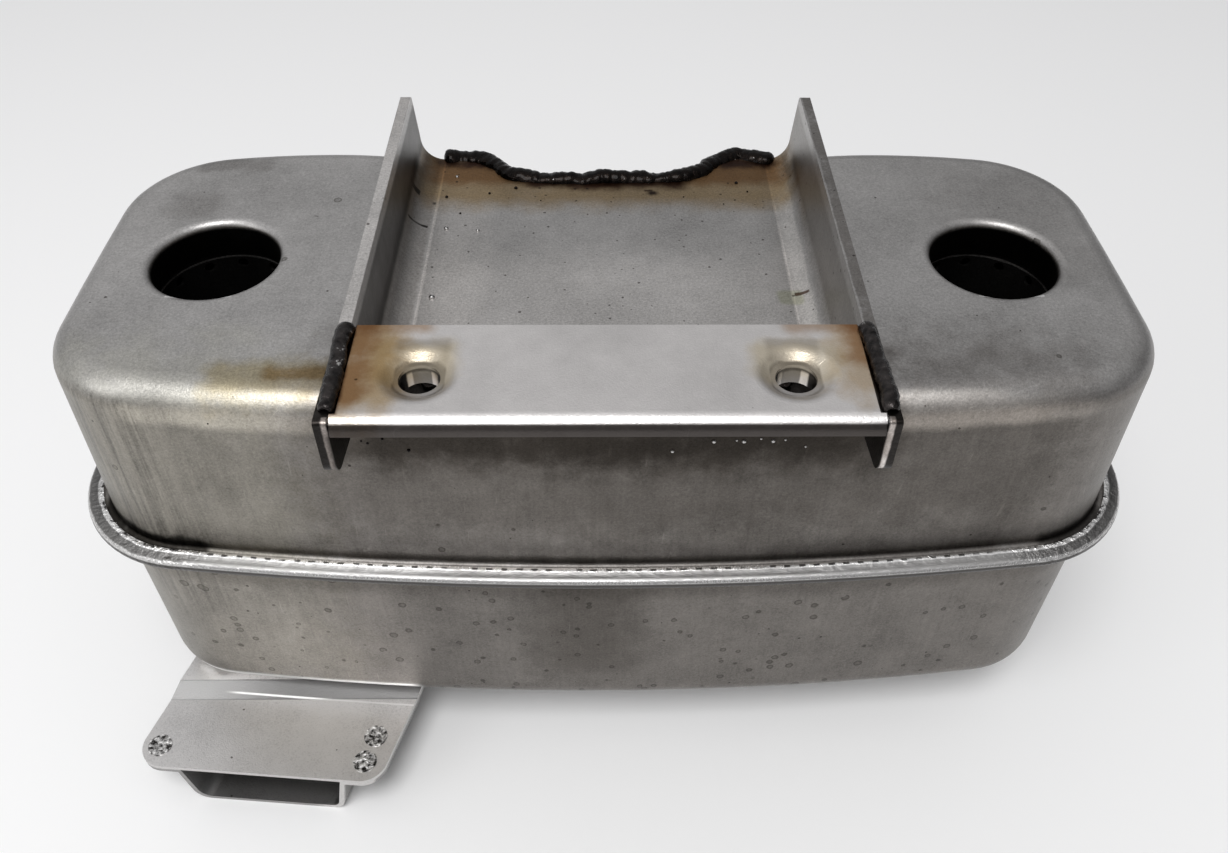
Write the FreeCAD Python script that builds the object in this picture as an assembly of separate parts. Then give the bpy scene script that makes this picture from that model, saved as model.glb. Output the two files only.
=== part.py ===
"""Twin-inlet muffler: two drawn shells locked by a rolled hem, with a welded bracket and a flat side outlet.

Millimetres. The origin is the middle of the two bolt holes, on the upper face of the bolt strap.
X runs along the muffler's length, +Y away from the strap towards the inlets, +Z up.
Every shape is drawn from the inlet datum, the point midway between the inlets on the shell's
flat top, and is moved to the origin when it is written out.
"""
import FreeCAD
import Part
import math
import os

Vector = FreeCAD.Vector
UP = Vector(0, 0, 1)
SMALL = 1e-6

# Sheet gauges
shell_sheet = 1.2
baffle_sheet = 0.8
bracket_sheet = 3.0
duct_sheet = 1.5
tube_sheet = 1.0

# Inlets
inlet_spacing = 228.0
inlet_radius = 18.4
inlet_rim_radius = 2.5
inlet_collar_depth = 11.0
inlet_rim_land = 1.5

# Shell plan, taken where the top edge rounding meets the side wall
shell_half_width = 151.8
shell_front = 64.2
shell_back = 63.2
front_bow_radius = 1050.0
side_bow_radius = 1800.0
front_corner_radius = 30.0
back_corner_radius = 34.0
lobe_offset = 88.0
lobe_outer_radius = 220.0
lobe_inner_radius = 125.0
relief_depth = 18.2
relief_root_radius = 14.0

# Shell section
top_edge_radius = 8.0
bottom_edge_radius = 9.0
upper_depth = 59.6
shell_height = 136.0
upper_draft = 1.4
lower_draft = 0.8
wall_to_hem_radius = 1.5
hem_reach = 8.6
lip_gap = 0.6
flat_inset = 12.0

# Inlet tubes
tube_clearance = 0.15
tube_top_drop = 4.0
perforation_radius = 1.6
perforation_rows = 3
perforation_count = 12
perforation_first_drop = 16.0
perforation_pitch = 14.0
boss_height = 3.0
boss_bend_radius = 1.2

# Transfer tubes between the two chambers
transfer_spacing = 84.0
transfer_setback = -6.0
transfer_radius = 13.0
transfer_length = 38.0
transfer_rim_width = 4.0
transfer_rim_radius = 2.0

# Bracket channel
bracket_half_width = 61.7
bracket_height = 28.6
bracket_bend_radius = 7.2
base_front = 54.0
base_back = 49.5
tab_back = 48.5
notch_back = 36.5
notch_half_width = 26.0
tab_inner = 38.0
notch_radius = 7.0
wall_top_back = 43.0
wall_knee_height = 10.0
wall_top_radius = 2.5
wall_knee_radius = 12.0
arm_top_radius = 1.0
arm_tip_height = 12.6
arm_tip_radius = 4.0
arm_root_reach = 84.0
arm_root_height = 10.8
arm_root_radius = 6.0
arm_foot_gap = 3.0

# Bolt strap
strap_reach = 98.1
strap_width = 32.1
strap_end_gap = 0.1
strap_lip_radius = 3.6
strap_lip_drop = 4.2
bolt_spacing = 82.8
bolt_line_reach = 82.6
bolt_hole_radius = 4.65
dimple_radius = 8.8
dimple_floor_radius = 5.7
dimple_shoulder_bend = 4.0
dimple_floor_bend = 1.2
dimple_depth = 1.8
bolt_collar_radius = 6.6
bolt_collar_depth = 7.0

# Weld beads
bead_root = 1.0
rear_bead_radius = 2.7
front_bead_radius = 2.4
front_bead_length = 34.0
front_bead_spacing = 64.0
strap_bead_radius = 2.9
strap_bead_overrun = 1.0

# Outlet duct
duct_turn = 16.4
duct_front_slope = -4.9
duct_left_edge = -153.0
duct_left_edge_reach = 79.2
duct_front_reach = 86.6
duct_front_left = -147.0
duct_width = 83.5
duct_back_reach = 8.0
duct_corner_radius = 8.0
duct_back_corner_radius = 6.0
duct_step = 2.0
duct_step_start = 56.0
duct_step_end = 62.5
left_flange = 14.9
right_flange = 10.7
pan_height = 20.0
pan_left_draft = 3.5
pan_right_draft = 4.0
pan_left_radius = 6.0
pan_right_radius = 4.5
pan_back_margin = 10.0
outlet_hole_margin = 6.0
outlet_hole_front = 46.0
outlet_hole_corner = 5.0
spot_radius = 3.8
spot_height = 0.25
spot_left_inset = 5.8
spot_left_setback = 8.2
spot_right_inset = 7.5
spot_right_setback = 10.3
spot_pitch = 9.4

# Sizes that follow from the ones above
fold_radius = (3 * shell_sheet + baffle_sheet) / 2
hem_top = -upper_depth
upper_flange_top = hem_top - shell_sheet
baffle_top = upper_flange_top - shell_sheet
lower_flange_top = baffle_top - baffle_sheet
hem_bottom = lower_flange_top - shell_sheet
flange_end = hem_reach - fold_radius
lip_start = upper_draft + wall_to_hem_radius + lip_gap
relief_line = shell_back - relief_depth
collar_outer = inlet_radius + shell_sheet
tube_inner = collar_outer + tube_clearance
tube_outer = tube_inner + tube_sheet
transfer_hole_radius = transfer_radius + transfer_rim_radius - tube_sheet + tube_clearance
strap_half = bracket_half_width - bracket_sheet - strap_end_gap
strap_bead_line = bracket_half_width - bracket_sheet / 2
strap_bead_front = -strap_reach + strap_bead_radius
strap_back = -strap_reach + strap_width
beyond = 2 * shell_half_width
datum_shift = Vector(0, bolt_line_reach, -bracket_height)


def unit(angle):
    """Direction in the plan at an angle in radians."""
    return Vector(math.cos(angle), math.sin(angle), 0)


def corner_points(before, corner, after, radius):
    """Start, middle and end of the arc that rounds a corner between its two neighbours."""
    if radius == 0:
        return corner, None, corner
    back = (before - corner).normalize()
    ahead = (after - corner).normalize()
    half = back.getAngle(ahead) / 2
    reach = radius / math.tan(half)
    centre = corner + (back + ahead).normalize() * (radius / math.sin(half))
    middle = centre + (corner - centre).normalize() * radius
    return corner + back * reach, middle, corner + ahead * reach


def rounded_path(points, radii):
    """Edges of a path through plane points, each inner corner rounded by its own radius."""
    edges = []
    here = points[0]
    for before, corner, after, radius in zip(points, points[1:], points[2:], radii):
        first, middle, last = corner_points(before, corner, after, radius)
        if here.distanceToPoint(first) > SMALL:
            edges.append(Part.makeLine(here, first))
        if middle is not None:
            edges.append(Part.Arc(first, middle, last).toShape())
        here = last
    if here.distanceToPoint(points[-1]) > SMALL:
        edges.append(Part.makeLine(here, points[-1]))
    return edges


def rounded_loop(points, radii):
    """Closed wire through plane points with a radius at every corner, zero for a sharp one."""
    count = len(points)
    ring = [corner_points(points[index - 1], points[index], points[(index + 1) % count], radius)
            for index, radius in enumerate(radii)]
    edges = []
    for index, (first, middle, last) in enumerate(ring):
        if middle is not None:
            edges.append(Part.Arc(first, middle, last).toShape())
        following = ring[(index + 1) % count][0]
        if last.distanceToPoint(following) > SMALL:
            edges.append(Part.makeLine(last, following))
    return Part.Wire(edges)


def offset_path(points, radii, thickness, normal):
    """The same path moved sideways by a thickness, to the left as seen from the normal's tip."""
    directions = [(b - a).normalize() for a, b in zip(points, points[1:])]
    sides = [normal.cross(d) for d in directions]
    moved = [points[0] + sides[0] * thickness]
    changed = []
    for index, radius in enumerate(radii):
        first = sides[index]
        second = sides[index + 1]
        corner = points[index + 1]
        moved.append(corner + (first + second) * (thickness / (1 + first.dot(second))))
        turn = directions[index].cross(directions[index + 1]).dot(normal)
        changed.append(radius - thickness * math.copysign(1, turn))
    moved.append(points[-1] + sides[-1] * thickness)
    return moved, changed


def sheet_section(points, radii, thickness, normal):
    """Face of a bent sheet: the path, its copy one thickness to the side, and the two cut ends."""
    moved, changed = offset_path(points, radii, thickness, normal)
    near = rounded_path(points, radii)
    far = rounded_path(moved, changed)
    ends = [Part.makeLine(points[-1], moved[-1]), Part.makeLine(points[0], moved[0])]
    return Part.Face(Part.Wire(Part.__sortEdges__(near + far + ends)))


def tangent_centre(first, first_radius, second, second_radius, radius, towards):
    """Centre of an arc that touches two larger circles from inside, on the side of a direction."""
    a = first_radius - radius
    b = second_radius - radius
    line = second - first
    length = line.Length
    along = (a * a - b * b + length * length) / (2 * length)
    across = math.sqrt(a * a - along * along)
    forward = line * (1 / length)
    sideways = UP.cross(forward)
    choices = [first + forward * along + sideways * across, first + forward * along - sideways * across]
    return max(choices, key=lambda point: point.dot(towards))


def shell_outline():
    """The plan outline as arcs (centre, radius, start, end, bulge), counterclockwise from the front.

    Bulge is 1 where the outline is convex and -1 where it is hollow. The hollow floor of the relief
    in the back is the one straight stretch, and is given by its two ends.
    """
    front_centre = Vector(0, front_bow_radius - shell_front, 0)
    side_centre = Vector(shell_half_width - side_bow_radius, 0, 0)
    outer_lobe = Vector(lobe_offset, shell_back - lobe_outer_radius, 0)
    inner_lobe = Vector(lobe_offset, shell_back - lobe_inner_radius, 0)
    front_corner = tangent_centre(front_centre, front_bow_radius, side_centre, side_bow_radius,
                                  front_corner_radius, Vector(1, -1, 0))
    back_corner = tangent_centre(side_centre, side_bow_radius, outer_lobe, lobe_outer_radius,
                                 back_corner_radius, Vector(1, 1, 0))
    root_height = relief_line + relief_root_radius
    root_rise = root_height - inner_lobe.y
    root_run = math.sqrt((lobe_inner_radius + relief_root_radius) ** 2 - root_rise ** 2)
    root = Vector(lobe_offset - root_run, root_height, 0)

    def heading(start, end):
        return math.atan2(end.y - start.y, end.x - start.x)

    front_turn = heading(front_centre, front_corner)
    side_low = heading(side_centre, front_corner)
    side_high = heading(side_centre, back_corner)
    lobe_turn = heading(outer_lobe, back_corner)
    root_turn = heading(inner_lobe, root)
    right = [
        (front_corner, front_corner_radius, front_turn, side_low, 1),
        (side_centre, side_bow_radius, side_low, side_high, 1),
        (back_corner, back_corner_radius, side_high, lobe_turn, 1),
        (outer_lobe, lobe_outer_radius, lobe_turn, math.pi / 2, 1),
        (inner_lobe, lobe_inner_radius, math.pi / 2, root_turn, 1),
        (root, relief_root_radius, root_turn - math.pi, -math.pi / 2, -1),
    ]
    left = [(Vector(-c.x, c.y, 0), r, math.pi - end, math.pi - start, bulge)
            for c, r, start, end, bulge in reversed(right)]
    front = (front_centre, front_bow_radius, -math.pi - front_turn, front_turn, 1)
    floor = (Vector(root.x, relief_line, 0), Vector(-root.x, relief_line, 0))
    return [front] + right, floor, left


RIGHT_ARCS, RELIEF_FLOOR, LEFT_ARCS = shell_outline()


def outline_face(offset, height):
    """Flat face inside the outline moved outward by an offset, at a height."""
    edges = []
    for centre, radius, start, end, bulge in RIGHT_ARCS + LEFT_ARCS:
        grown = radius + bulge * offset
        points = [centre + unit(a) * grown + UP * height for a in (start, (start + end) / 2, end)]
        edges.append(Part.Arc(*points).toShape())
    floor = [Vector(p.x, p.y + offset, height) for p in RELIEF_FLOOR]
    edges.insert(len(RIGHT_ARCS), Part.makeLine(*floor))
    return Part.Face(Part.Wire(edges))


def along_outline(section_points, section_radii, thickness):
    """Bent sheet carried round the outline. Section points are (outward, height)."""
    pieces = []

    def section_at(foot, outward):
        points = [foot + outward * s + UP * z for s, z in section_points]
        return sheet_section(points, section_radii, thickness, UP.cross(outward) * -1)

    for centre, radius, start, end, bulge in RIGHT_ARCS + LEFT_ARCS:
        foot = centre + unit(start) * radius
        face = section_at(foot, unit(start) * bulge)
        pieces.append(face.revolve(centre, UP, math.degrees(end - start)))
    first, last = RELIEF_FLOOR
    face = section_at(first, Vector(0, 1, 0))
    pieces.append(face.extrude(last - first))
    return pieces


def joined(pieces):
    """One clean solid from pieces that meet face to face."""
    solid = pieces[0].multiFuse(pieces[1:]).removeSplitter()
    return solid


def turned_sheet(centre, section_points, section_radii, thickness):
    """Bent sheet turned about an upright axis. Section points are (radius, height)."""
    points = [centre + Vector(r, 0, z) for r, z in section_points]
    face = sheet_section(points, section_radii, thickness, Vector(0, -1, 0))
    return face.revolve(centre, UP, 360)


def disc(centre, radius, bottom, top):
    """Upright cylinder between two heights."""
    return Part.makeCylinder(radius, top - bottom, Vector(centre.x, centre.y, bottom))


def inlet_centres():
    return {"left": Vector(-inlet_spacing / 2, 0, 0), "right": Vector(inlet_spacing / 2, 0, 0)}


def upper_shell():
    """Drawn top half with its edge rounding, drafted wall, flange and two rolled-in inlet collars."""
    wall_run = upper_flange_top + top_edge_radius
    top_corner = -upper_draft * top_edge_radius / -wall_run
    section = [(-flat_inset, 0), (top_corner, 0), (upper_draft, upper_flange_top),
               (flange_end, upper_flange_top)]
    pieces = along_outline(section, [top_edge_radius, wall_to_hem_radius], -shell_sheet)
    top = outline_face(-flat_inset, -shell_sheet).extrude(UP * shell_sheet)
    collar_edge = inlet_radius + inlet_rim_radius + inlet_rim_land
    collars = []
    for centre in inlet_centres().values():
        top = top.cut(disc(centre, collar_edge, -shell_sheet, 0))
        collars.append(turned_sheet(centre, [(collar_edge, 0), (inlet_radius, 0),
                                             (inlet_radius, -inlet_collar_depth)],
                                    [inlet_rim_radius], shell_sheet))
    return joined(pieces + [top] + collars)


def lower_shell():
    """Drawn bottom half whose flange is rolled over the upper flange, with the outlet hole."""
    bottom_out = upper_draft - lower_draft
    section = [(lip_start, hem_top), (hem_reach, hem_top), (hem_reach, hem_bottom), (upper_draft, hem_bottom),
               (bottom_out, -shell_height), (-flat_inset, -shell_height)]
    radii = [fold_radius, fold_radius, wall_to_hem_radius, bottom_edge_radius]
    pieces = along_outline(section, radii, -shell_sheet)
    bottom = outline_face(-flat_inset, -shell_height).extrude(UP * shell_sheet)
    solid = joined(pieces + [bottom])
    return solid.cut(outlet_hole())


def baffle_plate():
    """Flat divider clamped in the hem, with a pressed boss under each inlet tube and two tube holes."""
    plate = outline_face(flange_end, lower_flange_top).extrude(UP * baffle_sheet)
    boss_radius = tube_inner - tube_clearance - boss_bend_radius
    base_radius = tube_outer
    bosses = []
    for centre in inlet_centres().values():
        plate = plate.cut(disc(centre, base_radius, lower_flange_top, baffle_top))
        boss_top = baffle_top + boss_height
        section = [(base_radius, baffle_top), (boss_radius, baffle_top), (boss_radius, boss_top),
                   (0, boss_top)]
        bosses.append(turned_sheet(centre, section, [boss_bend_radius, boss_bend_radius], baffle_sheet))
    for centre in transfer_centres().values():
        plate = plate.cut(disc(centre, transfer_hole_radius, lower_flange_top, baffle_top))
    return joined([plate] + bosses)


def transfer_centres():
    return {"left": Vector(-transfer_spacing / 2, transfer_setback, 0),
            "right": Vector(transfer_spacing / 2, transfer_setback, 0)}


def transfer_tube(centre):
    """Open tube that hangs through the divider by its turned-out rim."""
    rim_top = baffle_top + tube_sheet
    bore = transfer_radius - tube_sheet
    section = [(transfer_radius + transfer_rim_width, rim_top), (bore, rim_top),
               (bore, rim_top - transfer_length)]
    return turned_sheet(centre, section, [transfer_rim_radius], tube_sheet)


def inlet_tube(centre):
    """Perforated tube slipped over the inlet collar and standing on the divider round its boss."""
    top = -tube_top_drop
    tube = disc(centre, tube_outer, baffle_top, top).cut(disc(centre, tube_inner, baffle_top, top))
    drills = []
    for row in range(perforation_rows):
        height = -perforation_first_drop - row * perforation_pitch
        stagger = 0.5 * (row % 2)
        for index in range(perforation_count):
            turn = 2 * math.pi * (index + stagger) / perforation_count
            foot = centre + UP * height
            drills.append(Part.makeCylinder(perforation_radius, tube_outer + tube_sheet, foot, unit(turn)))
    return tube.cut(Part.makeCompound(drills))


def bracket():
    """Folded channel: a base welded on the shell's top and two walls that run forward as arms."""
    outer_bend = bracket_bend_radius + bracket_sheet
    half = bracket_half_width
    section = [Vector(-half, 0, bracket_height), Vector(-half, 0, 0), Vector(half, 0, 0),
               Vector(half, 0, bracket_height)]
    face = sheet_section(section, [outer_bend, outer_bend], bracket_sheet, Vector(0, -1, 0))
    channel = face.extrude(Vector(0, strap_reach + base_back, 0))
    channel.translate(Vector(0, -strap_reach, 0))
    below = -bracket_sheet
    above = bracket_height
    side = [Vector(-half, -strap_reach, above), Vector(-half, -strap_reach, arm_tip_height),
            Vector(-half, -arm_root_reach, arm_root_height), Vector(-half, -base_front - arm_foot_gap, 0),
            Vector(-half, -base_front - arm_foot_gap, below), Vector(-half, base_back, below),
            Vector(-half, base_back, wall_knee_height), Vector(-half, wall_top_back, above)]
    radii = [arm_top_radius, arm_tip_radius, arm_root_radius, 0, 0, 0, wall_knee_radius, wall_top_radius]
    profile = Part.Face(rounded_loop(side, radii)).extrude(Vector(2 * half, 0, 0))
    solid = channel.common(profile)
    front_cut = Part.makeBox(2 * (half - bracket_sheet), strap_reach, outer_bend,
                             Vector(-half + bracket_sheet, -base_front - strap_reach, 0))
    past = base_back + bracket_sheet
    notch = [Vector(-tab_inner, past, below), Vector(-tab_inner, tab_back, below),
             Vector(-notch_half_width, notch_back, below), Vector(notch_half_width, notch_back, below),
             Vector(tab_inner, tab_back, below), Vector(tab_inner, past, below)]
    notch_cut = Part.Face(rounded_loop(notch, [0, 0, notch_radius, notch_radius, 0, 0]))
    return solid.cut(front_cut).cut(notch_cut.extrude(UP * outer_bend)).removeSplitter()


def strap_dimple(centre):
    """Pressed dimple with a drawn bolt collar, to be added to the strap round each bolt hole."""
    top = bracket_height
    under = bracket_sheet
    rim = dimple_radius + under
    floor = -dimple_depth
    points = [(rim, 0), (dimple_radius, 0), (dimple_floor_radius, floor), (bolt_hole_radius, floor),
              (bolt_hole_radius, -bolt_collar_depth), (bolt_collar_radius, -bolt_collar_depth),
              (bolt_collar_radius, floor - under), (dimple_radius, floor - under / 2), (rim, -under)]
    bends = [0, dimple_shoulder_bend, dimple_floor_bend, 0, 0, 0, 0, 0, 0]
    loop = [centre + Vector(r, 0, top + z) for r, z in points]
    return Part.Face(rounded_loop(loop, bends)).revolve(centre, UP, 360)


def bolt_centres():
    return [Vector(side * bolt_spacing / 2, -bolt_line_reach, 0) for side in (-1, 1)]


def bolt_strap():
    """Cross strap between the arms, flush with their top edges, with a short lip and two dimples.

    The upper corner of each end is melted into its weld, so the flat face stops where the beads start.
    """
    half = strap_half
    top = bracket_height
    path = [Vector(-half, strap_back, top), Vector(-half, -strap_reach, top),
            Vector(-half, -strap_reach, top - strap_lip_drop)]
    face = sheet_section(path, [strap_lip_radius], bracket_sheet, Vector(1, 0, 0))
    strap = face.extrude(Vector(2 * half, 0, 0))
    bead_inner = strap_bead_line - strap_bead_radius
    leg = half - bead_inner
    for side in (-1, 1):
        melted = [Vector(side * bead_inner, strap_bead_front, top), Vector(side * half, strap_bead_front, top),
                  Vector(side * half, strap_bead_front, top - leg)]
        groove = Part.Face(Part.makePolygon(melted + melted[:1]))
        strap = strap.cut(groove.extrude(Vector(0, strap_back - strap_bead_front, 0)))
    dimples = []
    for centre in bolt_centres():
        strap = strap.cut(disc(centre, dimple_radius + bracket_sheet, top - bracket_sheet, top))
        dimples.append(strap_dimple(centre))
    return joined([strap] + dimples)


def bead(path_edges, radius):
    """Round weld bead along a path of tangent edges."""
    path = Part.Wire(path_edges)
    start = path_edges[0].valueAt(path_edges[0].FirstParameter)
    direction = path_edges[0].tangentAt(path_edges[0].FirstParameter)
    section = Part.Wire(Part.makeCircle(radius, start, direction))
    return path.makePipeShell([section], True, True)


def rear_weld(neighbours):
    """Bead that follows the base's back edge round the relief."""
    height = rear_bead_radius - bead_root
    side = bracket_half_width - bracket_bend_radius - bracket_sheet
    reach = rear_bead_radius / 2
    tab_line = tab_back + reach
    notch_line = notch_back + reach
    plan = [(-side, tab_line), (-tab_inner - reach, tab_line), (-notch_half_width, notch_line),
            (notch_half_width, notch_line), (tab_inner + reach, tab_line), (side, tab_line)]
    points = [Vector(x, y, height) for x, y in plan]
    radii = [notch_radius, notch_radius, notch_radius, notch_radius]
    return bead(rounded_path(points, radii), rear_bead_radius).cut(neighbours)


def front_welds(neighbours):
    """Two short beads along the base's front edge, under the strap."""
    beads = []
    for side in (-1, 1):
        middle = side * front_bead_spacing / 2
        reach = -base_front - front_bead_radius / 2
        height = front_bead_radius - bead_root
        ends = [Vector(middle + end * front_bead_length / 2, reach, height) for end in (-1, 1)]
        beads.append(bead([Part.makeLine(*ends)], front_bead_radius).cut(neighbours))
    return Part.makeCompound([solid for piece in beads for solid in piece.Solids])


def strap_weld(side, neighbours):
    """Bead over the joint between one end of the strap and the top edge of its arm."""
    across = side * strap_bead_line
    back = strap_back + strap_bead_overrun
    ends = [Vector(across, y, bracket_height) for y in (back, strap_bead_front)]
    return bead([Part.makeLine(*ends)], strap_bead_radius).cut(neighbours)


def duct_left(reach):
    """X of the outlet plate's left edge at a distance in front of the inlet line."""
    return duct_left_edge - (reach - duct_left_edge_reach) * math.tan(math.radians(duct_turn))


def duct_run(reach_from, reach_to):
    """Vector along the skewed duct between two distances in front of the inlet line."""
    return Vector(duct_left(reach_to) - duct_left(reach_from), reach_from - reach_to, 0)


def duct_front_corner(margin):
    """Point where the duct's sloping front edge meets a line that runs a margin inside its left edge."""
    turn = math.tan(math.radians(duct_turn))
    slope = math.tan(math.radians(duct_front_slope))
    across = duct_left(0) + margin - duct_front_left
    reach = (duct_front_reach - across * slope) / (1 - turn * slope)
    return Vector(duct_left(reach) + margin, -reach, 0)


def duct_plan(left_margin, right_margin, back_reach, corner, back_corner):
    """Face of the skewed duct plan between its side margins, from its front edge to a back reach."""
    right = duct_width - right_margin
    back_left = Vector(duct_left(back_reach) + left_margin, -back_reach, 0)
    back_right = Vector(duct_left(back_reach) + right, -back_reach, 0)
    points = [duct_front_corner(left_margin), duct_front_corner(right), back_right, back_left]
    return Part.Face(rounded_loop(points, [corner, corner, back_corner, back_corner]))


def below_step(drop):
    """Everything under the duct's stepped joint face, lowered by a drop."""
    high = -shell_height - drop
    low = high - duct_step
    points = [(shell_back, high), (-duct_step_start, high), (-duct_step_end, low), (-beyond, low),
              (-beyond, -beyond), (shell_back, -beyond)]
    loop = [Vector(-beyond, y, z) for y, z in points]
    bends = [0, duct_step, duct_step, 0, 0, 0]
    return Part.Face(rounded_loop(loop, bends)).extrude(Vector(2 * beyond, 0, 0))


def prism(face, bottom, top):
    """Upright prism on a plan face."""
    solid = face.extrude(UP * (top - bottom))
    solid.translate(UP * bottom)
    return solid


def outlet_hole():
    """Rounded hole through the shell's bottom and the outlet plate, inside the pan's walls."""
    left = left_flange + pan_left_draft + outlet_hole_margin
    right = right_flange + pan_right_draft + outlet_hole_margin
    back = duct_back_reach + pan_back_margin + outlet_hole_margin
    start = Vector(duct_left(outlet_hole_front) + left, -outlet_hole_front, 0)
    across = Vector(duct_width - left - right, 0, 0)
    run = duct_run(outlet_hole_front, back)
    points = [start, start + across, start + across + run, start + run]
    face = Part.Face(rounded_loop(points, [outlet_hole_corner] * 4))
    return prism(face, -shell_height - 2 * duct_sheet, -shell_height + 2 * shell_sheet)


def outlet_plate():
    """Cover of the duct: flat against the shell's bottom behind a shallow step, rounded in front."""
    plan = duct_plan(0, 0, duct_back_reach, duct_corner_radius, duct_back_corner_radius)
    slab = below_step(0).cut(below_step(duct_sheet))
    body = prism(plan, -beyond, -shell_height)
    return slab.common(body).cut(outlet_hole())


def pan_section(inset, start_reach):
    """Face across the duct of the pan's outside, or of its inside when inset by a sheet."""
    left = duct_left(start_reach) + left_flange + inset
    right = duct_left(start_reach) + duct_width - right_flange - inset
    top = -shell_height
    bottom = top - duct_step - pan_height + inset
    points = [Vector(left, -start_reach, top), Vector(left + pan_left_draft, -start_reach, bottom),
              Vector(right - pan_right_draft, -start_reach, bottom), Vector(right, -start_reach, top)]
    radii = [0, pan_left_radius - inset, pan_right_radius - inset, 0]
    return Part.Face(rounded_loop(points, radii))


def outlet_pan():
    """Pressed pan under the plate, open at the front, with a flange along both sides and its back."""
    back = duct_back_reach + pan_back_margin
    outside = pan_section(0, beyond).extrude(duct_run(beyond, back))
    inside = pan_section(duct_sheet, beyond).extrude(duct_run(beyond, back + duct_sheet))
    plan = duct_plan(0, 0, duct_back_reach, duct_corner_radius, duct_back_corner_radius)
    column = prism(plan, -beyond, -shell_height)
    flange = below_step(duct_sheet).cut(below_step(2 * duct_sheet))
    pan = outside.common(below_step(duct_sheet)).fuse(flange).common(column)
    return pan.cut(inside).removeSplitter()


def outlet_spots():
    """Three spot-weld buttons through the plate and the pan's flanges."""
    top = -shell_height - duct_step
    left_reach = duct_front_reach - spot_left_setback
    right_reach = duct_front_reach - spot_right_setback
    left = Vector(duct_left(left_reach) + spot_left_inset, -left_reach, top)
    right = Vector(duct_left(right_reach) + duct_width - spot_right_inset, -right_reach, top)
    front = right + duct_run(right_reach, right_reach + spot_pitch)
    return Part.makeCompound([Part.makeCylinder(spot_radius, spot_height, p) for p in (left, right, front)])


def build():
    """Every node of the muffler by name."""
    nodes = {"upper_shell": upper_shell(), "lower_shell": lower_shell(), "baffle_plate": baffle_plate()}
    for side, centre in inlet_centres().items():
        nodes["inlet_tube_" + side] = inlet_tube(centre)
    for side, centre in transfer_centres().items():
        nodes["transfer_tube_" + side] = transfer_tube(centre)
    nodes["mounting_bracket"] = bracket()
    nodes["bolt_strap"] = bolt_strap()
    welded = Part.makeCompound([nodes["upper_shell"], nodes["mounting_bracket"], nodes["bolt_strap"]])
    nodes["rear_weld"] = rear_weld(welded)
    nodes["front_welds"] = front_welds(welded)
    nodes["strap_weld_left"] = strap_weld(-1, welded)
    nodes["strap_weld_right"] = strap_weld(1, welded)
    nodes["outlet_plate"] = outlet_plate()
    nodes["outlet_pan"] = outlet_pan()
    nodes["outlet_spot_welds"] = outlet_spots()
    return nodes


def main():
    os.makedirs("parts", exist_ok=True)
    for name, shape in build().items():
        shape.translate(datum_shift)
        shape.exportStep("parts/" + name + ".step")
        print(name, "solids", len(shape.Solids), "valid", shape.isValid(), "volume", round(shape.Volume, 1))


main()
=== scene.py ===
# %% [markdown]
# # A twin-inlet muffler of bare drawn steel
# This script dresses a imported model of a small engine's muffler. The model gives every piece its place
# and size, in metres, and the script gives it a finish: satin sheet steel, heat-tinted plate and dark,
# rippled weld beads. Each step has a note first and the code after it.

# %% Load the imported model
import math

import bpy
from mathutils import Matrix, Vector
from mathutils.bvhtree import BVHTree


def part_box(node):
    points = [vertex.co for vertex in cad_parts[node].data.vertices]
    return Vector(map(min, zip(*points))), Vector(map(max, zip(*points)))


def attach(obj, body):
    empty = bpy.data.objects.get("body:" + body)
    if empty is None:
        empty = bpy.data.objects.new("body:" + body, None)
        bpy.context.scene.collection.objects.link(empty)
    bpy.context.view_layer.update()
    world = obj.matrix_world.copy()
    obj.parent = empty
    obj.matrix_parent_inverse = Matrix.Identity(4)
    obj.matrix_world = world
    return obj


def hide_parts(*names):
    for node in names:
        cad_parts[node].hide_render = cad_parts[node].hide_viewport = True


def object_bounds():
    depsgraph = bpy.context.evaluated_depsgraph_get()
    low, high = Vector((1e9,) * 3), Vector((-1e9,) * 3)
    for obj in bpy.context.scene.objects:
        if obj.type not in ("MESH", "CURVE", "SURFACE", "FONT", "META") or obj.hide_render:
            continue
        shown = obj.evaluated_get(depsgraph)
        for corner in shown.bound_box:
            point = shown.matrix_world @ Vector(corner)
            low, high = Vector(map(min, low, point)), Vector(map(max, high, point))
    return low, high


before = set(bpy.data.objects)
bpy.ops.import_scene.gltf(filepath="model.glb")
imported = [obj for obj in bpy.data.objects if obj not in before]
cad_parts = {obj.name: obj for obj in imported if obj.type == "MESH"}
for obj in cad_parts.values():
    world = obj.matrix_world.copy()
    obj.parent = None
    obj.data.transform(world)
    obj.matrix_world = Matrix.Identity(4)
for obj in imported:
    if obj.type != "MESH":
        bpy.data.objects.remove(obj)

cad_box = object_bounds()
print("nodes in the frame:", len(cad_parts))

# %% [markdown]
# ## Sizes that the finishes need
# The scene reads its heights from the frame's own boxes, so a stain or a bead stays on its piece.
# MM turns the millimetres of the workshop into the frame's metres.

# %% Heights and edges read from the frame
MM = 0.001

shell_low, shell_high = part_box("upper_shell")
top_z = shell_high.z
hem_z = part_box("lower_shell")[1].z
wall_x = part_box("mounting_bracket")[1].x
print("shell top", round(top_z / MM, 1), "mm, hem top", round(hem_z / MM, 1), "mm")


def mm(x, y, z):
    """A point given in millimetres."""
    return Vector((x, y, z)) * MM


# %% [markdown]
# ## The camera
# The muffler was seen from close in front and about 45 degrees above. Its camera was worked out from the
# two round inlets and the bracket's edges: a place, three directions and a lens on a 36 mm wide sensor.

# %% Camera
camera_place = Vector((-0.001434, -0.173569, 0.155271))
camera_right = Vector((0.99993, -0.00984, 0.00639))
camera_up = Vector((0.00238, 0.70323, 0.71098))
camera_back = camera_right.cross(camera_up)

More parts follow.
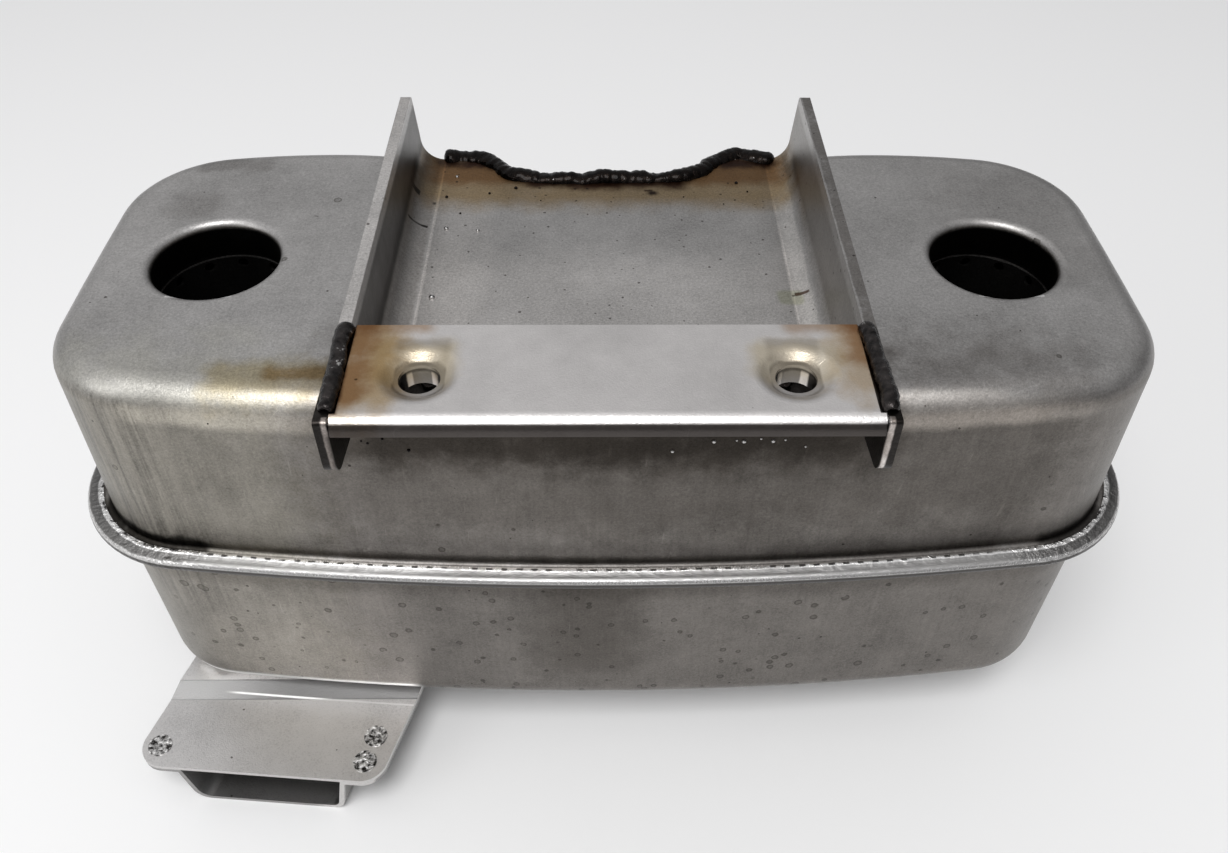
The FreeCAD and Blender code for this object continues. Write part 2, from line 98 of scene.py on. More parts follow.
camera_data = bpy.data.cameras.new("camera")
camera_data.sensor_width = 36.0
camera_data.lens = 31.238
camera_data.clip_start = 0.01
camera = bpy.data.objects.new("camera", camera_data)
turn = Matrix((camera_right, camera_up, camera_back)).transposed().to_4x4()
camera.matrix_world = Matrix.Translation(camera_place) @ turn
bpy.context.scene.collection.objects.link(camera)
bpy.context.scene.camera = camera
print("camera", round(camera_place.length / MM), "mm from the strap's middle")

# %% [markdown]
# ## Building node trees
# A node tree is a list of nodes and wires, for a shader and for Geometry Nodes alike. It could be drawn by
# hand in the editor, but a script can repeat it. `put` adds a node and feeds its inputs. A number goes on
# the socket itself, and a node is wired to it.

# %% Adding a node
def feed(tree, socket, value):
    """Wires a node or a socket to an input, or sets the input's own value."""
    if isinstance(value, bpy.types.Node):
        value = next(s for s in value.outputs if s.enabled)
    if isinstance(value, bpy.types.NodeSocket):
        tree.links.new(value, socket)
    else:
        socket.default_value = value


def put(tree, kind, inputs=None, **settings):
    """Adds a node, sets its properties, and feeds its inputs by name or number."""
    made = tree.nodes.new(kind)
    for name, value in settings.items():
        setattr(made, name, value)
    for key, value in (inputs or {}).items():
        feed(tree, made.inputs[key], value)
    return made


# %% [markdown]
# ## Sums in a node tree
# Each sum is a Math node. These helpers let a mask be written much like a formula: `total` and `times` take
# any number of values, and `flip` turns a mask inside out.

# %% Sums of numbers
def calc(tree, operation, *values, clamp=False):
    """Adds a Math node on up to three values."""
    return put(tree, "ShaderNodeMath", dict(enumerate(values)), operation=operation, use_clamp=clamp)


def total(tree, *values):
    """Adds several values."""
    result = values[0]
    for value in values[1:]:
        result = calc(tree, "ADD", result, value)
    return result


def times(tree, *values):
    """Multiplies several values."""
    result = values[0]
    for value in values[1:]:
        result = calc(tree, "MULTIPLY", result, value)
    return result


def flip(tree, value):
    """1 minus a value."""
    return calc(tree, "SUBTRACT", 1.0, value)


def ramp(tree, value, low, high):
    """Adds a Map Range node that goes smoothly from 0 at low to 1 at high."""
    return put(tree, "ShaderNodeMapRange", {0: value, 1: low, 2: high},
               interpolation_type="SMOOTHSTEP").outputs[0]


# %% Sums of vectors
def vector(tree, operation, *values):
    """Adds a Vector Math node."""
    return put(tree, "ShaderNodeVectorMath", dict(enumerate(values)), operation=operation)


def scaled(tree, value, amount):
    """A vector made longer or shorter."""
    return put(tree, "ShaderNodeVectorMath", {0: value, "Scale": amount}, operation="SCALE")


def parts(tree, value):
    """The X, Y and Z of a vector."""
    return put(tree, "ShaderNodeSeparateXYZ", {0: value}).outputs


# %% [markdown]
# ## Where a pattern lies
# A pattern could lie on a UV map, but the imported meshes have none. So every pattern here is worked out from
# the point's own place on the object and from the way that the surface faces there.

# %% Places, noise and colours
def object_place(tree):
    """A point's own place on the object, in metres."""
    return put(tree, "ShaderNodeTexCoord").outputs["Object"]


def surface_facing(tree):
    """The X, Y and Z of the surface's own direction."""
    return parts(tree, put(tree, "ShaderNodeNewGeometry").outputs["Normal"])


def noise(tree, place, scale, detail=3.0, rough=0.6):
    """A Noise Texture from -0.5 to 0.5 round its middle."""
    made = put(tree, "ShaderNodeTexNoise",
               {"Vector": place, "Scale": scale, "Detail": detail, "Roughness": rough})
    return calc(tree, "SUBTRACT", made.outputs[0], 0.5)


def seeded_noise(tree, place, seed, scale, detail, rough=0.5):
    """A Noise Texture from 0 to 1 that a seed changes."""
    return put(tree, "ShaderNodeTexNoise",
               {"Vector": place, "W": seed, "Scale": scale, "Detail": detail, "Roughness": rough},
               noise_dimensions="4D").outputs


def mix_colour(tree, factor, first, second, mode="MIX"):
    """Adds a colour Mix node."""
    made = put(tree, "ShaderNodeMix", data_type="RGBA", blend_type=mode, clamp_factor=True)
    colours = [made.inputs[0], made.inputs[6], made.inputs[7]]
    for socket, value in zip(colours, (factor, first, second)):
        feed(tree, socket, value)
    return made.outputs[2]


# %% [markdown]
# ## Node groups
# An effect that several materials need is made once, as a node group with named inputs and outputs. Each
# material then places it with values of its own. Geometry Nodes trees are made in the same way.

# %% Making and using a group
def new_group(name, inputs, outputs, kind="ShaderNodeTree"):
    """Makes a node group with named inputs (name, type, value) and outputs (name, type)."""
    tree = bpy.data.node_groups.new(name, kind)
    for label, sort, value in inputs:
        socket = tree.interface.new_socket(label, in_out="INPUT", socket_type="NodeSocket" + sort)
        if value is not None:
            socket.default_value = value
    for label, sort in outputs:
        tree.interface.new_socket(label, in_out="OUTPUT", socket_type="NodeSocket" + sort)
    return tree, tree.nodes.new("NodeGroupInput").outputs, tree.nodes.new("NodeGroupOutput").inputs


def counted(tree):
    """Prints how many nodes a new tree has, and hands it on."""
    print(tree.name, "has", len(tree.nodes), "nodes")
    return tree


def use_group(tree, group, **values):
    """Places a node group in a tree and feeds its inputs, with spaces for underscores in their names."""
    made = put(tree, "ShaderNodeGroup", node_tree=group)
    for name, value in values.items():
        feed(tree, made.inputs[name.replace("_", " ")], value)
    return made.outputs


# %% [markdown]
# ## Shared effect: sheet grain
# Bare rolled sheet is never one grey. It has a speckle of about half a millimetre from pickling and
# rolling, and slow clouds where the oil and the handling left it darker or paler. Both are 3-D noise on
# the object's own coordinates, so they stay put when the muffler is turned.

# %% Sheet grain
def make_sheet_grain():
    """Slow clouds and a fine speckle, both from -0.5 to 0.5."""
    tree, given, out = new_group(
        "sheet grain",
        [("Cloud Size", "Float", 30.0), ("Speckle Size", "Float", 1250.0), ("Seed", "Float", 0.0)],
        [("Clouds", "Float"), ("Speckle", "Float")])
    place = object_place(tree)
    clouds = seeded_noise(tree, place, given["Seed"], given["Cloud Size"], 4.0, 0.62)
    feed(tree, out["Clouds"], calc(tree, "SUBTRACT", clouds[0], 0.5))
    feed(tree, out["Speckle"], noise(tree, place, given["Speckle Size"], 2.0, 0.7))
    return tree


sheet_grain = counted(make_sheet_grain())

# %% [markdown]
# ## Shared effect: draw marks
# The die scores a drawn wall from top to bottom. Noise that is squeezed along the wall and stretched in
# height makes such scores on every side at once, and a mask from the surface's own direction keeps them
# off the flat top.

# %% Draw marks
def make_draw_marks():
    """Scores from top to bottom, and a mask of the upright walls."""
    tree, given, out = new_group(
        "draw marks",
        [("Across", "Float", 640.0), ("Along", "Float", 14.0)],
        [("Marks", "Float"), ("Wall", "Float")])
    squeeze = put(tree, "ShaderNodeCombineXYZ", {0: given["Across"], 1: given["Across"], 2: given["Along"]})
    squeezed = vector(tree, "MULTIPLY", object_place(tree), squeeze)
    flatness = calc(tree, "ABSOLUTE", surface_facing(tree)[2])
    feed(tree, out["Marks"], noise(tree, squeezed, 1.0, 5.0, 0.65))
    feed(tree, out["Wall"], flip(tree, ramp(tree, flatness, 0.2, 0.7)))
    return tree


draw_marks = counted(make_draw_marks())

# %% [markdown]
# ## Shared effect: a stained area
# Heat tint, weld smoke and rubbed patches all are an area with a soft, ragged border, and so are the painted
# shade and the painted highlights. The group measures how far a point lies outside a box, roughens that
# distance with noise and fades it out.

# %% Stained area
def make_stained_area():
    """A box with a soft, ragged border: 1 inside it and 0 far outside."""
    tree, given, out = new_group(
        "stained area",
        [("Middle", "Vector", (0, 0, 0)), ("Half Size", "Vector", (0.01, 0.01, 0.01)),
         ("Softness", "Float", 0.004), ("Ragged", "Float", 0.004)],
        [("Stain", "Float")])
    place = object_place(tree)
    away = vector(tree, "ABSOLUTE", vector(tree, "SUBTRACT", place, given["Middle"]))
    outside = vector(tree, "MAXIMUM", vector(tree, "SUBTRACT", away, given["Half Size"]), (0, 0, 0))
    distance = vector(tree, "LENGTH", outside).outputs["Value"]
    ragged = times(tree, noise(tree, place, 110.0, 4.0), given["Ragged"], 2.0)
    fade = calc(tree, "DIVIDE", total(tree, distance, ragged), given["Softness"])
    feed(tree, out["Stain"], flip(tree, ramp(tree, fade, 0.0, 1.0)))
    return tree


stained_area = counted(make_stained_area())

# %% [markdown]
# ## Shared effect: spots
# Dried drops leave rings, and dust and spatter leave specks. A Voronoi texture scatters points in space,
# and each point gets its own size from its cell's colour. A little noise bends the space first, so that no
# spot is quite round. With Ring at 1 the middle of a spot stays clear.

# %% Spots and specks
def make_spots():
    """Scattered discs or rings of uneven size."""
    tree, given, out = new_group(
        "spots",
        [("Spacing", "Float", 0.012), ("Radius", "Float", 0.0011), ("Ring", "Float", 0.0),
         ("Share", "Float", 0.5)],
        [("Spots", "Float")])
    place = object_place(tree)
    push = put(tree, "ShaderNodeTexNoise", {"Vector": place, "Scale": 700.0}).outputs["Color"]
    bent = vector(tree, "ADD", place, scaled(tree, push, 0.6 * MM))
    cells = put(tree, "ShaderNodeTexVoronoi",
                {"Vector": bent, "Scale": calc(tree, "DIVIDE", 1.0, given["Spacing"])})
    chance = put(tree, "ShaderNodeSeparateColor", {0: cells.outputs["Color"]})
    radius = times(tree, given["Radius"], total(tree, chance.outputs[1], 0.5))
    reach = calc(tree, "DIVIDE", times(tree, cells.outputs["Distance"], given["Spacing"]), radius)
    disc = flip(tree, ramp(tree, reach, 0.8, 1.05))
    hollow = flip(tree, times(tree, given["Ring"], flip(tree, ramp(tree, reach, 0.45, 0.85))))
    there = calc(tree, "LESS_THAN", chance.outputs[0], given["Share"])
    feed(tree, out["Spots"], times(tree, disc, hollow, there))
    return tree


spots = counted(make_spots())

# %% [markdown]
# ## Shared effect: scratches
# Handling leaves short, thin scratches in a few directions. Noise that is stretched along a turned axis
# gives long thin blobs, and a high threshold keeps only the strongest of them.

# %% Scratches
def make_scratches():
    """Short thin lines that run one way."""
    tree, given, out = new_group(
        "scratches",
        [("Angle", "Float", 0.6), ("Amount", "Float", 0.2)],
        [("Scratches", "Float")])
    turned = put(tree, "ShaderNodeVectorRotate", {"Vector": object_place(tree), "Angle": given["Angle"]},
                 rotation_type="Z_AXIS")
    lines = noise(tree, vector(tree, "MULTIPLY", turned, (2600.0, 75.0, 75.0)), 1.0, 1.0, 0.4)
    level = calc(tree, "SUBTRACT", 0.34, times(tree, given["Amount"], 0.2))
    feed(tree, out["Scratches"], ramp(tree, lines, level, calc(tree, "ADD", level, 0.05)))
    return tree


scratches = counted(make_scratches())

# %% [markdown]
# ## Bare sheet steel
# Every material is one Principled shader. Bare steel is a metal, so its base colour is the colour of its
# reflection, and its roughness says how blurred that reflection is. The satin sheet mirrors nothing
# sharply, but its rounded edges still catch a bright line.

# %% Start a material
def start_material(name, metallic=1.0, specular=0.5):
    """A material with one Principled shader, its tree and the tree's shader node."""
    material = bpy.data.materials.new(name)
    material.use_nodes = True
    tree = material.node_tree
    shader = tree.nodes["Principled BSDF"]
    shader.inputs["Metallic"].default_value = metallic
    shader.inputs["Specular IOR Level"].default_value = specular
    return material, tree, shader


def bump(tree, height, strength, distance):
    """A Bump node, which turns a height into a normal."""
    return put(tree, "ShaderNodeBump", {"Height": height, "Strength": strength, "Distance": distance})


# %% [markdown]
# ## Tones and stains
# A stain multiplies the colour under it, as a real film of scale or smoke does, and the same lists lay
# painted shade and painted highlights too. A tone below 1 darkens, and one above 1 stands for metal that was
# rubbed or sheared bright, or for a painted highlight. Heat tints go from straw to brown as the steel got
# hotter.

# %% Tones of the steel and its stains
def grey(level):
    """A tone without colour."""
    return (level, level, level, 1)


steel_pale = (0.64, 0.625, 0.615, 1)
steel_dark = (0.24, 0.234, 0.228, 1)
# The wall tone is painted shade: it darkens every upright wall.
wall_painted_shade = (0.52, 0.50, 0.475, 1)
straw = (0.66, 0.50, 0.29, 1)
brown = (0.52, 0.32, 0.16, 1)
burnt = (0.16, 0.09, 0.06, 1)
soot = (0.20, 0.185, 0.175, 1)
# This grey is weld smoke in some stains and painted shade in others.
smoke_and_shade = (0.45, 0.43, 0.41, 1)
# This black is oxide in some stains and painted shade in others.
oxide_and_shade_black = (0.045, 0.04, 0.037, 1)
pale_straw = (0.84, 0.76, 0.58, 1)
scorched = (0.12, 0.06, 0.045, 1)
# This pale tone is sheared metal on one edge and a painted highlight on the bend lines.
pale_cut_and_highlight = (1.7, 1.68, 1.66, 1)
# This near-white is a painted highlight, for lines that catch light.
painted_highlight_white = (0.97, 0.96, 0.95, 1)
drop_tone = (0.36, 0.35, 0.33, 1)
print("palest steel", steel_pale[:3], "and darkest", steel_dark[:3])


# %% Laying stains over a colour
def stain_over(tree, colour, stains):
    """Multiplies a colour by each stain: (middle, half size, softness, ragged, tone, strength), in mm."""
    for middle, half, softness, ragged, tone, strength in stains:
        area = use_group(tree, stained_area, Middle=mm(*middle), Half_Size=mm(*half),
                         Softness=softness * MM, Ragged=ragged * MM)
        colour = mix_colour(tree, times(tree, area["Stain"], strength), colour, tone, "MULTIPLY")
    return colour


def both_sides(middle, *others):
    """The same stain on the right and on the left."""
    x, y, z = middle
    return [(middle, *others), ((-x, y, z), *others)]


# %% [markdown]
# ## The satin sheet
# One recipe serves all the sheet pieces. Two sizes of grain and a few scratches make a level between the dark
# and the pale steel. Upright walls get draw marks as well, deepest at the left front corner, where the die
# scored this shell, and a painted shade that darkens every upright wall. Stains, dried drops and specks come
# last.

# %% Sheet steel
scored_corner = {"Middle": mm(-150, 36, -70), "Half_Size": mm(14, 24, 34), "Softness": 30 * MM,
                 "Ragged": 6 * MM}


def sheet_steel(name, tone, seed, roughness, stains=(), walls=True, speckle=0.8, rings=0.0, specks=0.0,
                scratch=0.5, finish=None):
    """Satin steel: clouds and speckle, draw marks and painted shade on upright walls, stains, drop rings and
    specks.
    """
    material, tree, shader = start_material(name)
    grain = use_group(tree, sheet_grain, Seed=seed)
    fine = use_group(tree, sheet_grain, Cloud_Size=170.0, Speckle_Size=2300.0, Seed=seed + 3.0)
    marks = use_group(tree, draw_marks)
    lines = use_group(tree, scratches, Angle=0.3 + seed, Amount=scratch)["Scratches"]
    level = total(tree, tone, times(tree, grain["Clouds"], 0.75), times(tree, fine["Clouds"], 0.35),
                  times(tree, grain["Speckle"], speckle), times(tree, fine["Speckle"], speckle),
                  times(tree, lines, 0.25))
    corner = use_group(tree, stained_area, **scored_corner)["Stain"]
    streak = times(tree, marks["Marks"], marks["Wall"], total(tree, 0.35, times(tree, corner, 2.0)))
    if walls:
        mottle = times(tree, use_group(tree, sheet_grain, Cloud_Size=75.0, Seed=seed + 9.0)["Clouds"],
                       marks["Wall"])
        score = times(tree, ramp(tree, marks["Marks"], 0.10, 0.16), marks["Wall"], corner, -0.30)
        level = total(tree, level, times(tree, streak, 1.3), times(tree, mottle, 0.75), score)
    colour = mix_colour(tree, level, steel_dark, steel_pale)
    if walls:
        # Painted shade: upright walls are darkened by the wall tone.
        colour = mix_colour(tree, marks["Wall"], colour, mix_colour(tree, 1.0, colour, wall_painted_shade, "MULTIPLY"))
    colour = stain_over(tree, colour, stains)
    if rings:
        drops = use_group(tree, spots, Spacing=5.2 * MM, Radius=1.1 * MM, Ring=0.6, Share=rings)
        colour = mix_colour(tree, times(tree, drops["Spots"], 0.9), colour, drop_tone, "MULTIPLY")
    if specks:
        dirt = use_group(tree, spots, Spacing=3.4 * MM, Radius=0.34 * MM, Ring=0.0, Share=specks)
        colour = mix_colour(tree, times(tree, dirt["Spots"], 0.85), colour, soot, "MULTIPLY")
    rough = total(tree, roughness, times(tree, grain["Clouds"], 0.12), times(tree, fine["Speckle"], 0.12),
                  times(tree, streak, 0.2))
    height = total(tree, times(tree, fine["Speckle"], 0.8), times(tree, grain["Speckle"], 0.5),
                   times(tree, streak, 1.2), times(tree, lines, -0.6))
    normal = bump(tree, height, 0.35, 0.2 * MM)
    if finish:
        colour, rough, normal = finish(tree, colour, rough, normal)
    feed(tree, shader.inputs["Base Color"], colour)
    feed(tree, shader.inputs["Roughness"], rough)
    feed(tree, shader.inputs["Normal"], normal)
    return material


# %% [markdown]
# ## Stains of the shells
# The wall under the strap and the front wall toward the right get painted shade, and the top edge beside the
# left arm is tinted by the strap's welds. The left end of the front wall is painted paler, as painted light.
# The top's front edges and the inlets' front rims get painted highlights, and the top under the strap and the
# inlets' collars get painted shade. The stains are plain lists of places, so a maker can move or drop one.
# Each gives a middle and a half size, then the softness and the raggedness of its border, all in millimetres,
# and last its tone and its strength.

# %% Shells
inlet_shade = (0.07, 0.068, 0.066, 1)
wall_y = shell_low.y / MM + 6
shell_stains = [
    # Painted shade on the wall under the strap and on the front wall toward the right.
    ((2, wall_y, -39), (66, 16, 4), 16, 12, smoke_and_shade, 0.95),
    ((2, wall_y, -38), (60, 14, 5), 9, 5, smoke_and_shade, 0.75),
    ((22, wall_y, -52), (88, 14, 12), 32, 18, smoke_and_shade, 0.70),
    ((70, wall_y, -60), (70, 14, 24), 26, 18, smoke_and_shade, 0.22),
    # Painted light: the left end of the front wall is made paler.
    ((-120, wall_y, -60), (24, 14, 24), 26, 18, (1.06, 1.06, 0.98, 1), 0.8),
    ((-85, 31, -29.5), (15, 2.6, 3), 7, 5, pale_straw, 1.0),
    ((-78, 32, -29), (9, 0.8, 3), 3, 3, straw, 0.8),
    ((-120, 134, -28.6), (9, 1.5, 1), 5, 6, smoke_and_shade, 0.45),
    ((-127, 110, -28.6), (5, 3, 1), 6, 6, smoke_and_shade, 0.35),
    ((84, 16.5, -31), (5, 1, 1.2), 1.4, 2.2, burnt, 0.9),
    # Painted highlights along the top's front edges.
    ((-108, 18.4, -33.9), (44, 5.2, 3.8), 4, 1.5, (1.85, 1.84, 1.81, 1), 1.0),
    ((112, 18.6, -33.4), (40, 5.2, 3.5), 4, 1.5, (2.4, 2.38, 2.35, 1), 1.0),
    # Painted shade on the top under the strap.
    ((0, 26, -28), (54, 7, 5), 6, 4, oxide_and_shade_black, 0.9),
    ((0, 90, -89.6), (165, 90, 0.9), 0.7, 0.6, smoke_and_shade, 0.9),
    ((-134, 36, -89), (16, 16, 2), 3, 3, oxide_and_shade_black, 0.9),
    ((138, 40, -89), (10, 14, 2), 3, 3, oxide_and_shade_black, 0.8),
    *both_sides((114, 82.6, -40), (18.6, 18.6, 8.6), 1.4, 0.4, inlet_shade, 1.0),
    ((124, 100, -28.6), (14, 22, 1), 18, 14, smoke_and_shade, 0.25),
    # Painted highlights on the inlets' front rims.
    *both_sides((114, 64.4, -29.4), (9, 0.3, 0.6), 0.5, 0.2, grey(2.4), 1.0),
]
shell_steel = sheet_steel("shell_steel", tone=0.52, seed=1.0, roughness=0.40, stains=shell_stains,
                          rings=0.02, specks=0.08)
print("stains on the shell:", len(shell_stains))

# %% [markdown]
# ## Stains of the bracket and the strap
# Heat tint goes from straw to brown the hotter the plate was, so the base is golden along its rear bead
# and the strap is brown at its welded ends. The arms' ends are black, with oxide on their outer faces and
# painted shade on their inner faces under the strap, and the left wall's top edge is bright where the shears
# cut it. The walls' inner faces and the base under the strap get painted shade, the right bend a painted
# light, and the bend lines beside the walls a painted highlight. The base has a few drips and chips of dark
# scale.

# %% Bracket
edge_x = wall_x / MM - 1.5
bracket_stains = [
    ((0, 120, -26), (53, 9, 3), 12, 5, straw, 0.95),
    ((0, 124, -26), (53, 3.5, 3), 7, 4, brown, 0.8),
    ((0, 117.6, -26), (23, 0.4, 3), 4.5, 4.0, scorched, 0.97),
    ((-44, 129.4, -26), (7, 0.4, 3), 4.5, 4.0, scorched, 0.97),
    ((45, 129.8, -26), (7, 0.4, 3), 4.5, 4.0, scorched, 0.97),
    ((0, 50, -26), (50, 18, 2), 22, 8, (1.25, 1.24, 1.23, 1), 1.0),
    ((-46, 75, -26), (3, 50, 2), 14, 6, (1.18, 1.17, 1.16, 1), 1.0),
    # Painted shade on the base under the strap.
    ((0, 28, -26), (52, 3, 3), 5, 4, oxide_and_shade_black, 0.85),
    ((14.6, 112.2, -25.6), (0.4, 0.1, 1), 1.9, 1.6, (0.06, 0.03, 0.02, 1), 1.0),
    ((13.2, 113.6, -25.6), (0.9, 0.1, 1), 0.8, 0.6, (0.10, 0.05, 0.035, 1), 0.9),
    ((50.4, 59.5, -25.6), (2.5, 2.0, 1), 1.6, 1.5, (0.75, 0.78, 0.6, 1), 0.7),
    ((54, 61, -25.2), (1.6, 0.3, 1.5), 0.4, 0.7, burnt, 0.9),
    ((-55.6, 93.5, -23), (2.4, 0.3, 2.5), 0.4, 0.9, oxide_and_shade_black, 0.95),
    ((-58, 108.5, -20), (1.5, 1.0, 3), 0.4, 0.9, oxide_and_shade_black, 0.9),
    ((-52.4, 106.3, -25), (0.1, 0.3, 1), 0.9, 0.8, oxide_and_shade_black, 0.9),
    # Painted light and shade from the left: the walls' inner faces and the left bend are darkened, and the
    # right bend is made paler.
    ((-56.0, 80, -22), (2.8, 60, 4), 1.5, 0.8, (0.62, 0.61, 0.60, 1), 0.9),
    ((54.0, 80, -25), (2.0, 60, 2), 0.8, 0.8, (1.30, 1.29, 1.27, 1), 0.9),
    ((-54.4, 50, -12), (4.0, 95, 7.5), 2.0, 0.6, (0.15, 0.145, 0.14, 1), 0.97),
    ((55.4, 50, -12), (3.0, 95, 7.5), 2.0, 0.6, (0.62, 0.60, 0.58, 1), 0.9),
    # Painted highlights on the bend lines beside the walls.
    ((-51.4, 75, -25.6), (0.15, 60, 1), 0.4, 0.3, pale_cut_and_highlight, 0.6),
    ((51.4, 75, -25.6), (0.15, 60, 1), 0.4, 0.3, pale_cut_and_highlight, 0.5),
    ((-edge_x, 60, 0), (1.2, 80, 0.3), 0.5, 0.5, pale_cut_and_highlight, 0.85),
    ((edge_x + 0.4, 60, 0), (1.2, 80, 0.3), 0.5, 0.8, smoke_and_shade, 0.85),
    # The arms' ends: oxide on their outer faces and painted shade on their inner faces under the strap.
    ((-wall_x / MM, -3, -4), (3.4, 16, 16), 4, 2.4, oxide_and_shade_black, 0.99),
    ((wall_x / MM, -3, -4), (3.4, 16, 16), 4, 2.4, oxide_and_shade_black, 0.98),
    ((-59.4, -15.5, -8), (0.3, 1.5, 9), 0.5, 0.5, grey(14.0), 0.9),
    ((59.5, -15.5, -8), (0.35, 1.5, 9), 0.5, 0.5, grey(20.0), 0.9),
]
bracket_steel = sheet_steel("bracket_steel", tone=0.42, seed=4.0, roughness=0.38, stains=bracket_stains,
                            walls=False, specks=0.8)
print("stains on the bracket:", len(bracket_stains))

# %% [markdown]
# The strap is paler than the bracket. Its two holes are punched with a dimple, and their walls get painted
# facets of highlight and shade. The dimples' back slopes and front rims get painted shade, and the lip's
# front face is painted black as shade.

# %% Strap
strap_stains = [
    ((0, 0, 0), (70, 20, 10), 1, 0, (1.27, 1.26, 1.26, 1), 1.0),
    ((-57, 4, 0), (6, 11, 5), 11, 8, straw, 0.9),
    ((-60, 4, 0), (5, 12, 5), 5, 5, brown, 0.75),
    ((-58.4, 3, 0), (0.6, 15, 4), 1.2, 1.4, burnt, 0.95),
    ((58.6, 4, 0), (0.5, 15, 4), 1.0, 1.2, burnt, 0.9),
    ((58, 8, 0), (3, 12, 5), 10, 8, straw, 0.7),
    ((59, 12, 0), (2.5, 7, 5), 5, 4, brown, 0.8),
    *both_sides((50, 16.4, 0), (8, 0.5, 2), 4, 2, brown, 0.6),
    ((-43, 4, -0.8), (7, 4, 2), 5, 3, pale_straw, 0.9),
    ((42, 4, -0.8), (8, 4, 2), 5, 3, pale_straw, 0.8),
    # Painted shade: the lip's front face is nearly black.
    ((0, -15.5, -5.2), (62, 1.3, 3.7), 0.5, 0.1, (0.10, 0.092, 0.088, 1), 1.0),
    # Painted facets in the holes' walls: the dark ones are painted shade, the bright ones painted highlights.
    ((-41.4, 0, -5.2), (5, 5, 2.4), 0.5, 0.3, (0.24, 0.235, 0.23, 1), 1.0),
    ((-44.2, 4, -5.4), (0.35, 3, 2.1), 0.4, 0.3, grey(2.6), 1.0),
    ((-38.6, 4, -5.4), (0.6, 3, 2.1), 0.4, 0.3, (3.2, 3.1, 3.1, 1), 1.0),
    ((41.4, 0, -5.2), (5, 5, 2.4), 0.5, 0.3, (0.26, 0.255, 0.25, 1), 1.0),
    ((38.4, 4, -5.4), (0.35, 3, 2.1), 0.4, 0.3, grey(2.2), 1.0),
    ((44.0, 4, -5.4), (0.6, 3, 2.1), 0.4, 0.3, grey(3.0), 1.0),
    # Painted shade on the dimples' back slopes, in strips of the holes' walls and on the dimples' front rims.
    *both_sides((41.4, 8, -1.2), (5, 2.5, 1.2), 2, 1, (0.72, 0.71, 0.70, 1), 0.9),
    *both_sides((45.5, 0, -5), (0.5, 3.5, 2.2), 0.3, 0.3, oxide_and_shade_black, 1.0),
    *both_sides((37.3, 0, -5), (0.4, 3.5, 2.2), 0.3, 0.3, oxide_and_shade_black, 1.0),
    *both_sides((41.4, 0, -2.4), (5.4, 5.4, 0.8), 0.6, 0.3, (0.5, 0.49, 0.48, 1), 0.9),
]
strap_steel = sheet_steel("strap_steel", tone=0.86, seed=7.0, roughness=0.36, stains=strap_stains,
                          walls=False, speckle=0.2, specks=0.04)
print("stains on the strap:", len(strap_stains))

# %% [markdown]
# ## The duct
# The duct's plate is the palest sheet of all. Its step lies in the body's shade and darkens toward the
# right, and the bend in front of it catches a thin line of light. The bend runs askew, so the line follows
# bend_start minus bend_slope times X.

# %% Finish of the duct's step
bend_slope = 0.0795
bend_start = 12.4
step_left = (0.36, 0.358, 0.354, 1)
step_right = (0.17, 0.168, 0.166, 1)


def duct_finish(tree, colour, rough, normal):
    """Tones the plate's step down and draws the line of light along its bend."""
    facing = surface_facing(tree)
    x, y, _ = parts(tree, object_place(tree))
    forward = times(tree, facing[1], -1.0)
    step = times(tree, ramp(tree, forward, 0.06, 0.16), flip(tree, ramp(tree, forward, 0.5, 0.7)),
                 ramp(tree, facing[2], 0.0, 0.4))
    to_right = ramp(tree, x, -146 * MM, -104 * MM)
    # The step's darker tones are painted shade, and the line along the bend is a painted highlight.
    colour = mix_colour(tree, times(tree, step, 0.9), colour, step_left)
    colour = mix_colour(tree, times(tree, step, to_right), colour, step_right)
    behind = calc(tree, "ABSOLUTE", total(tree, y, times(tree, x, bend_slope), -bend_start * MM))
    line = times(tree, flip(tree, ramp(tree, behind, 0.1 * MM, 0.5 * MM)), ramp(tree, facing[2], 0.5, 0.8),
                 ramp(tree, x, -131 * MM, -124 * MM), 0.8)
    return mix_colour(tree, line, colour, painted_highlight_white), rough, normal


# %% Duct
duct_stains = [
    ((-100, 20, -165), (60, 40, 1.2), 0.6, 0.1, (1.55, 1.56, 1.57, 1), 1.0),
    ((-100, 34, -164.6), (60, 4.5, 1), 5, 2, grey(0.8), 0.8),
    # Painted shade inside the pan.
    ((-100, 20, -178), (60, 28, 9.5), 0.8, 0.3, grey(0.5), 1.0),
]
duct_steel = sheet_steel("duct_steel", tone=1.0, seed=9.0, roughness=0.38, stains=duct_stains,
                         walls=False, specks=0.12, finish=duct_finish)
print("stains on the duct:", len(duct_stains))

# %% [markdown]
# ## The inner pieces
# The baffle and the tubes are only seen through the inlets. They are painted nearly black, as shade inside
# the body, and a thin arc of painted highlight stands for the glint on the edges of the tubes' holes.

# %% Inner pieces
inner_stains = [
    # Painted shade: the inside of the body is toned nearly black.
    ((0, 82, -70), (170, 80, 60), 1, 0, (0.16, 0.157, 0.155, 1), 1.0),
    # Painted highlights: two thin bright rings for the glint on the tubes' hole edges.
    ((0, 82, -42), (170, 80, 0.2), 0.25, 0.35, grey(12.0), 0.9),
    ((0, 82, -33), (170, 80, 0.3), 0.4, 0.2, grey(5.0), 0.9),
]
# Its low tone is painted shade too.
inner_steel = sheet_steel("inner_steel", tone=0.1, seed=12.0, roughness=0.45, stains=inner_stains,
                          walls=False)
print("finishes:", [m.name for m in bpy.data.materials])

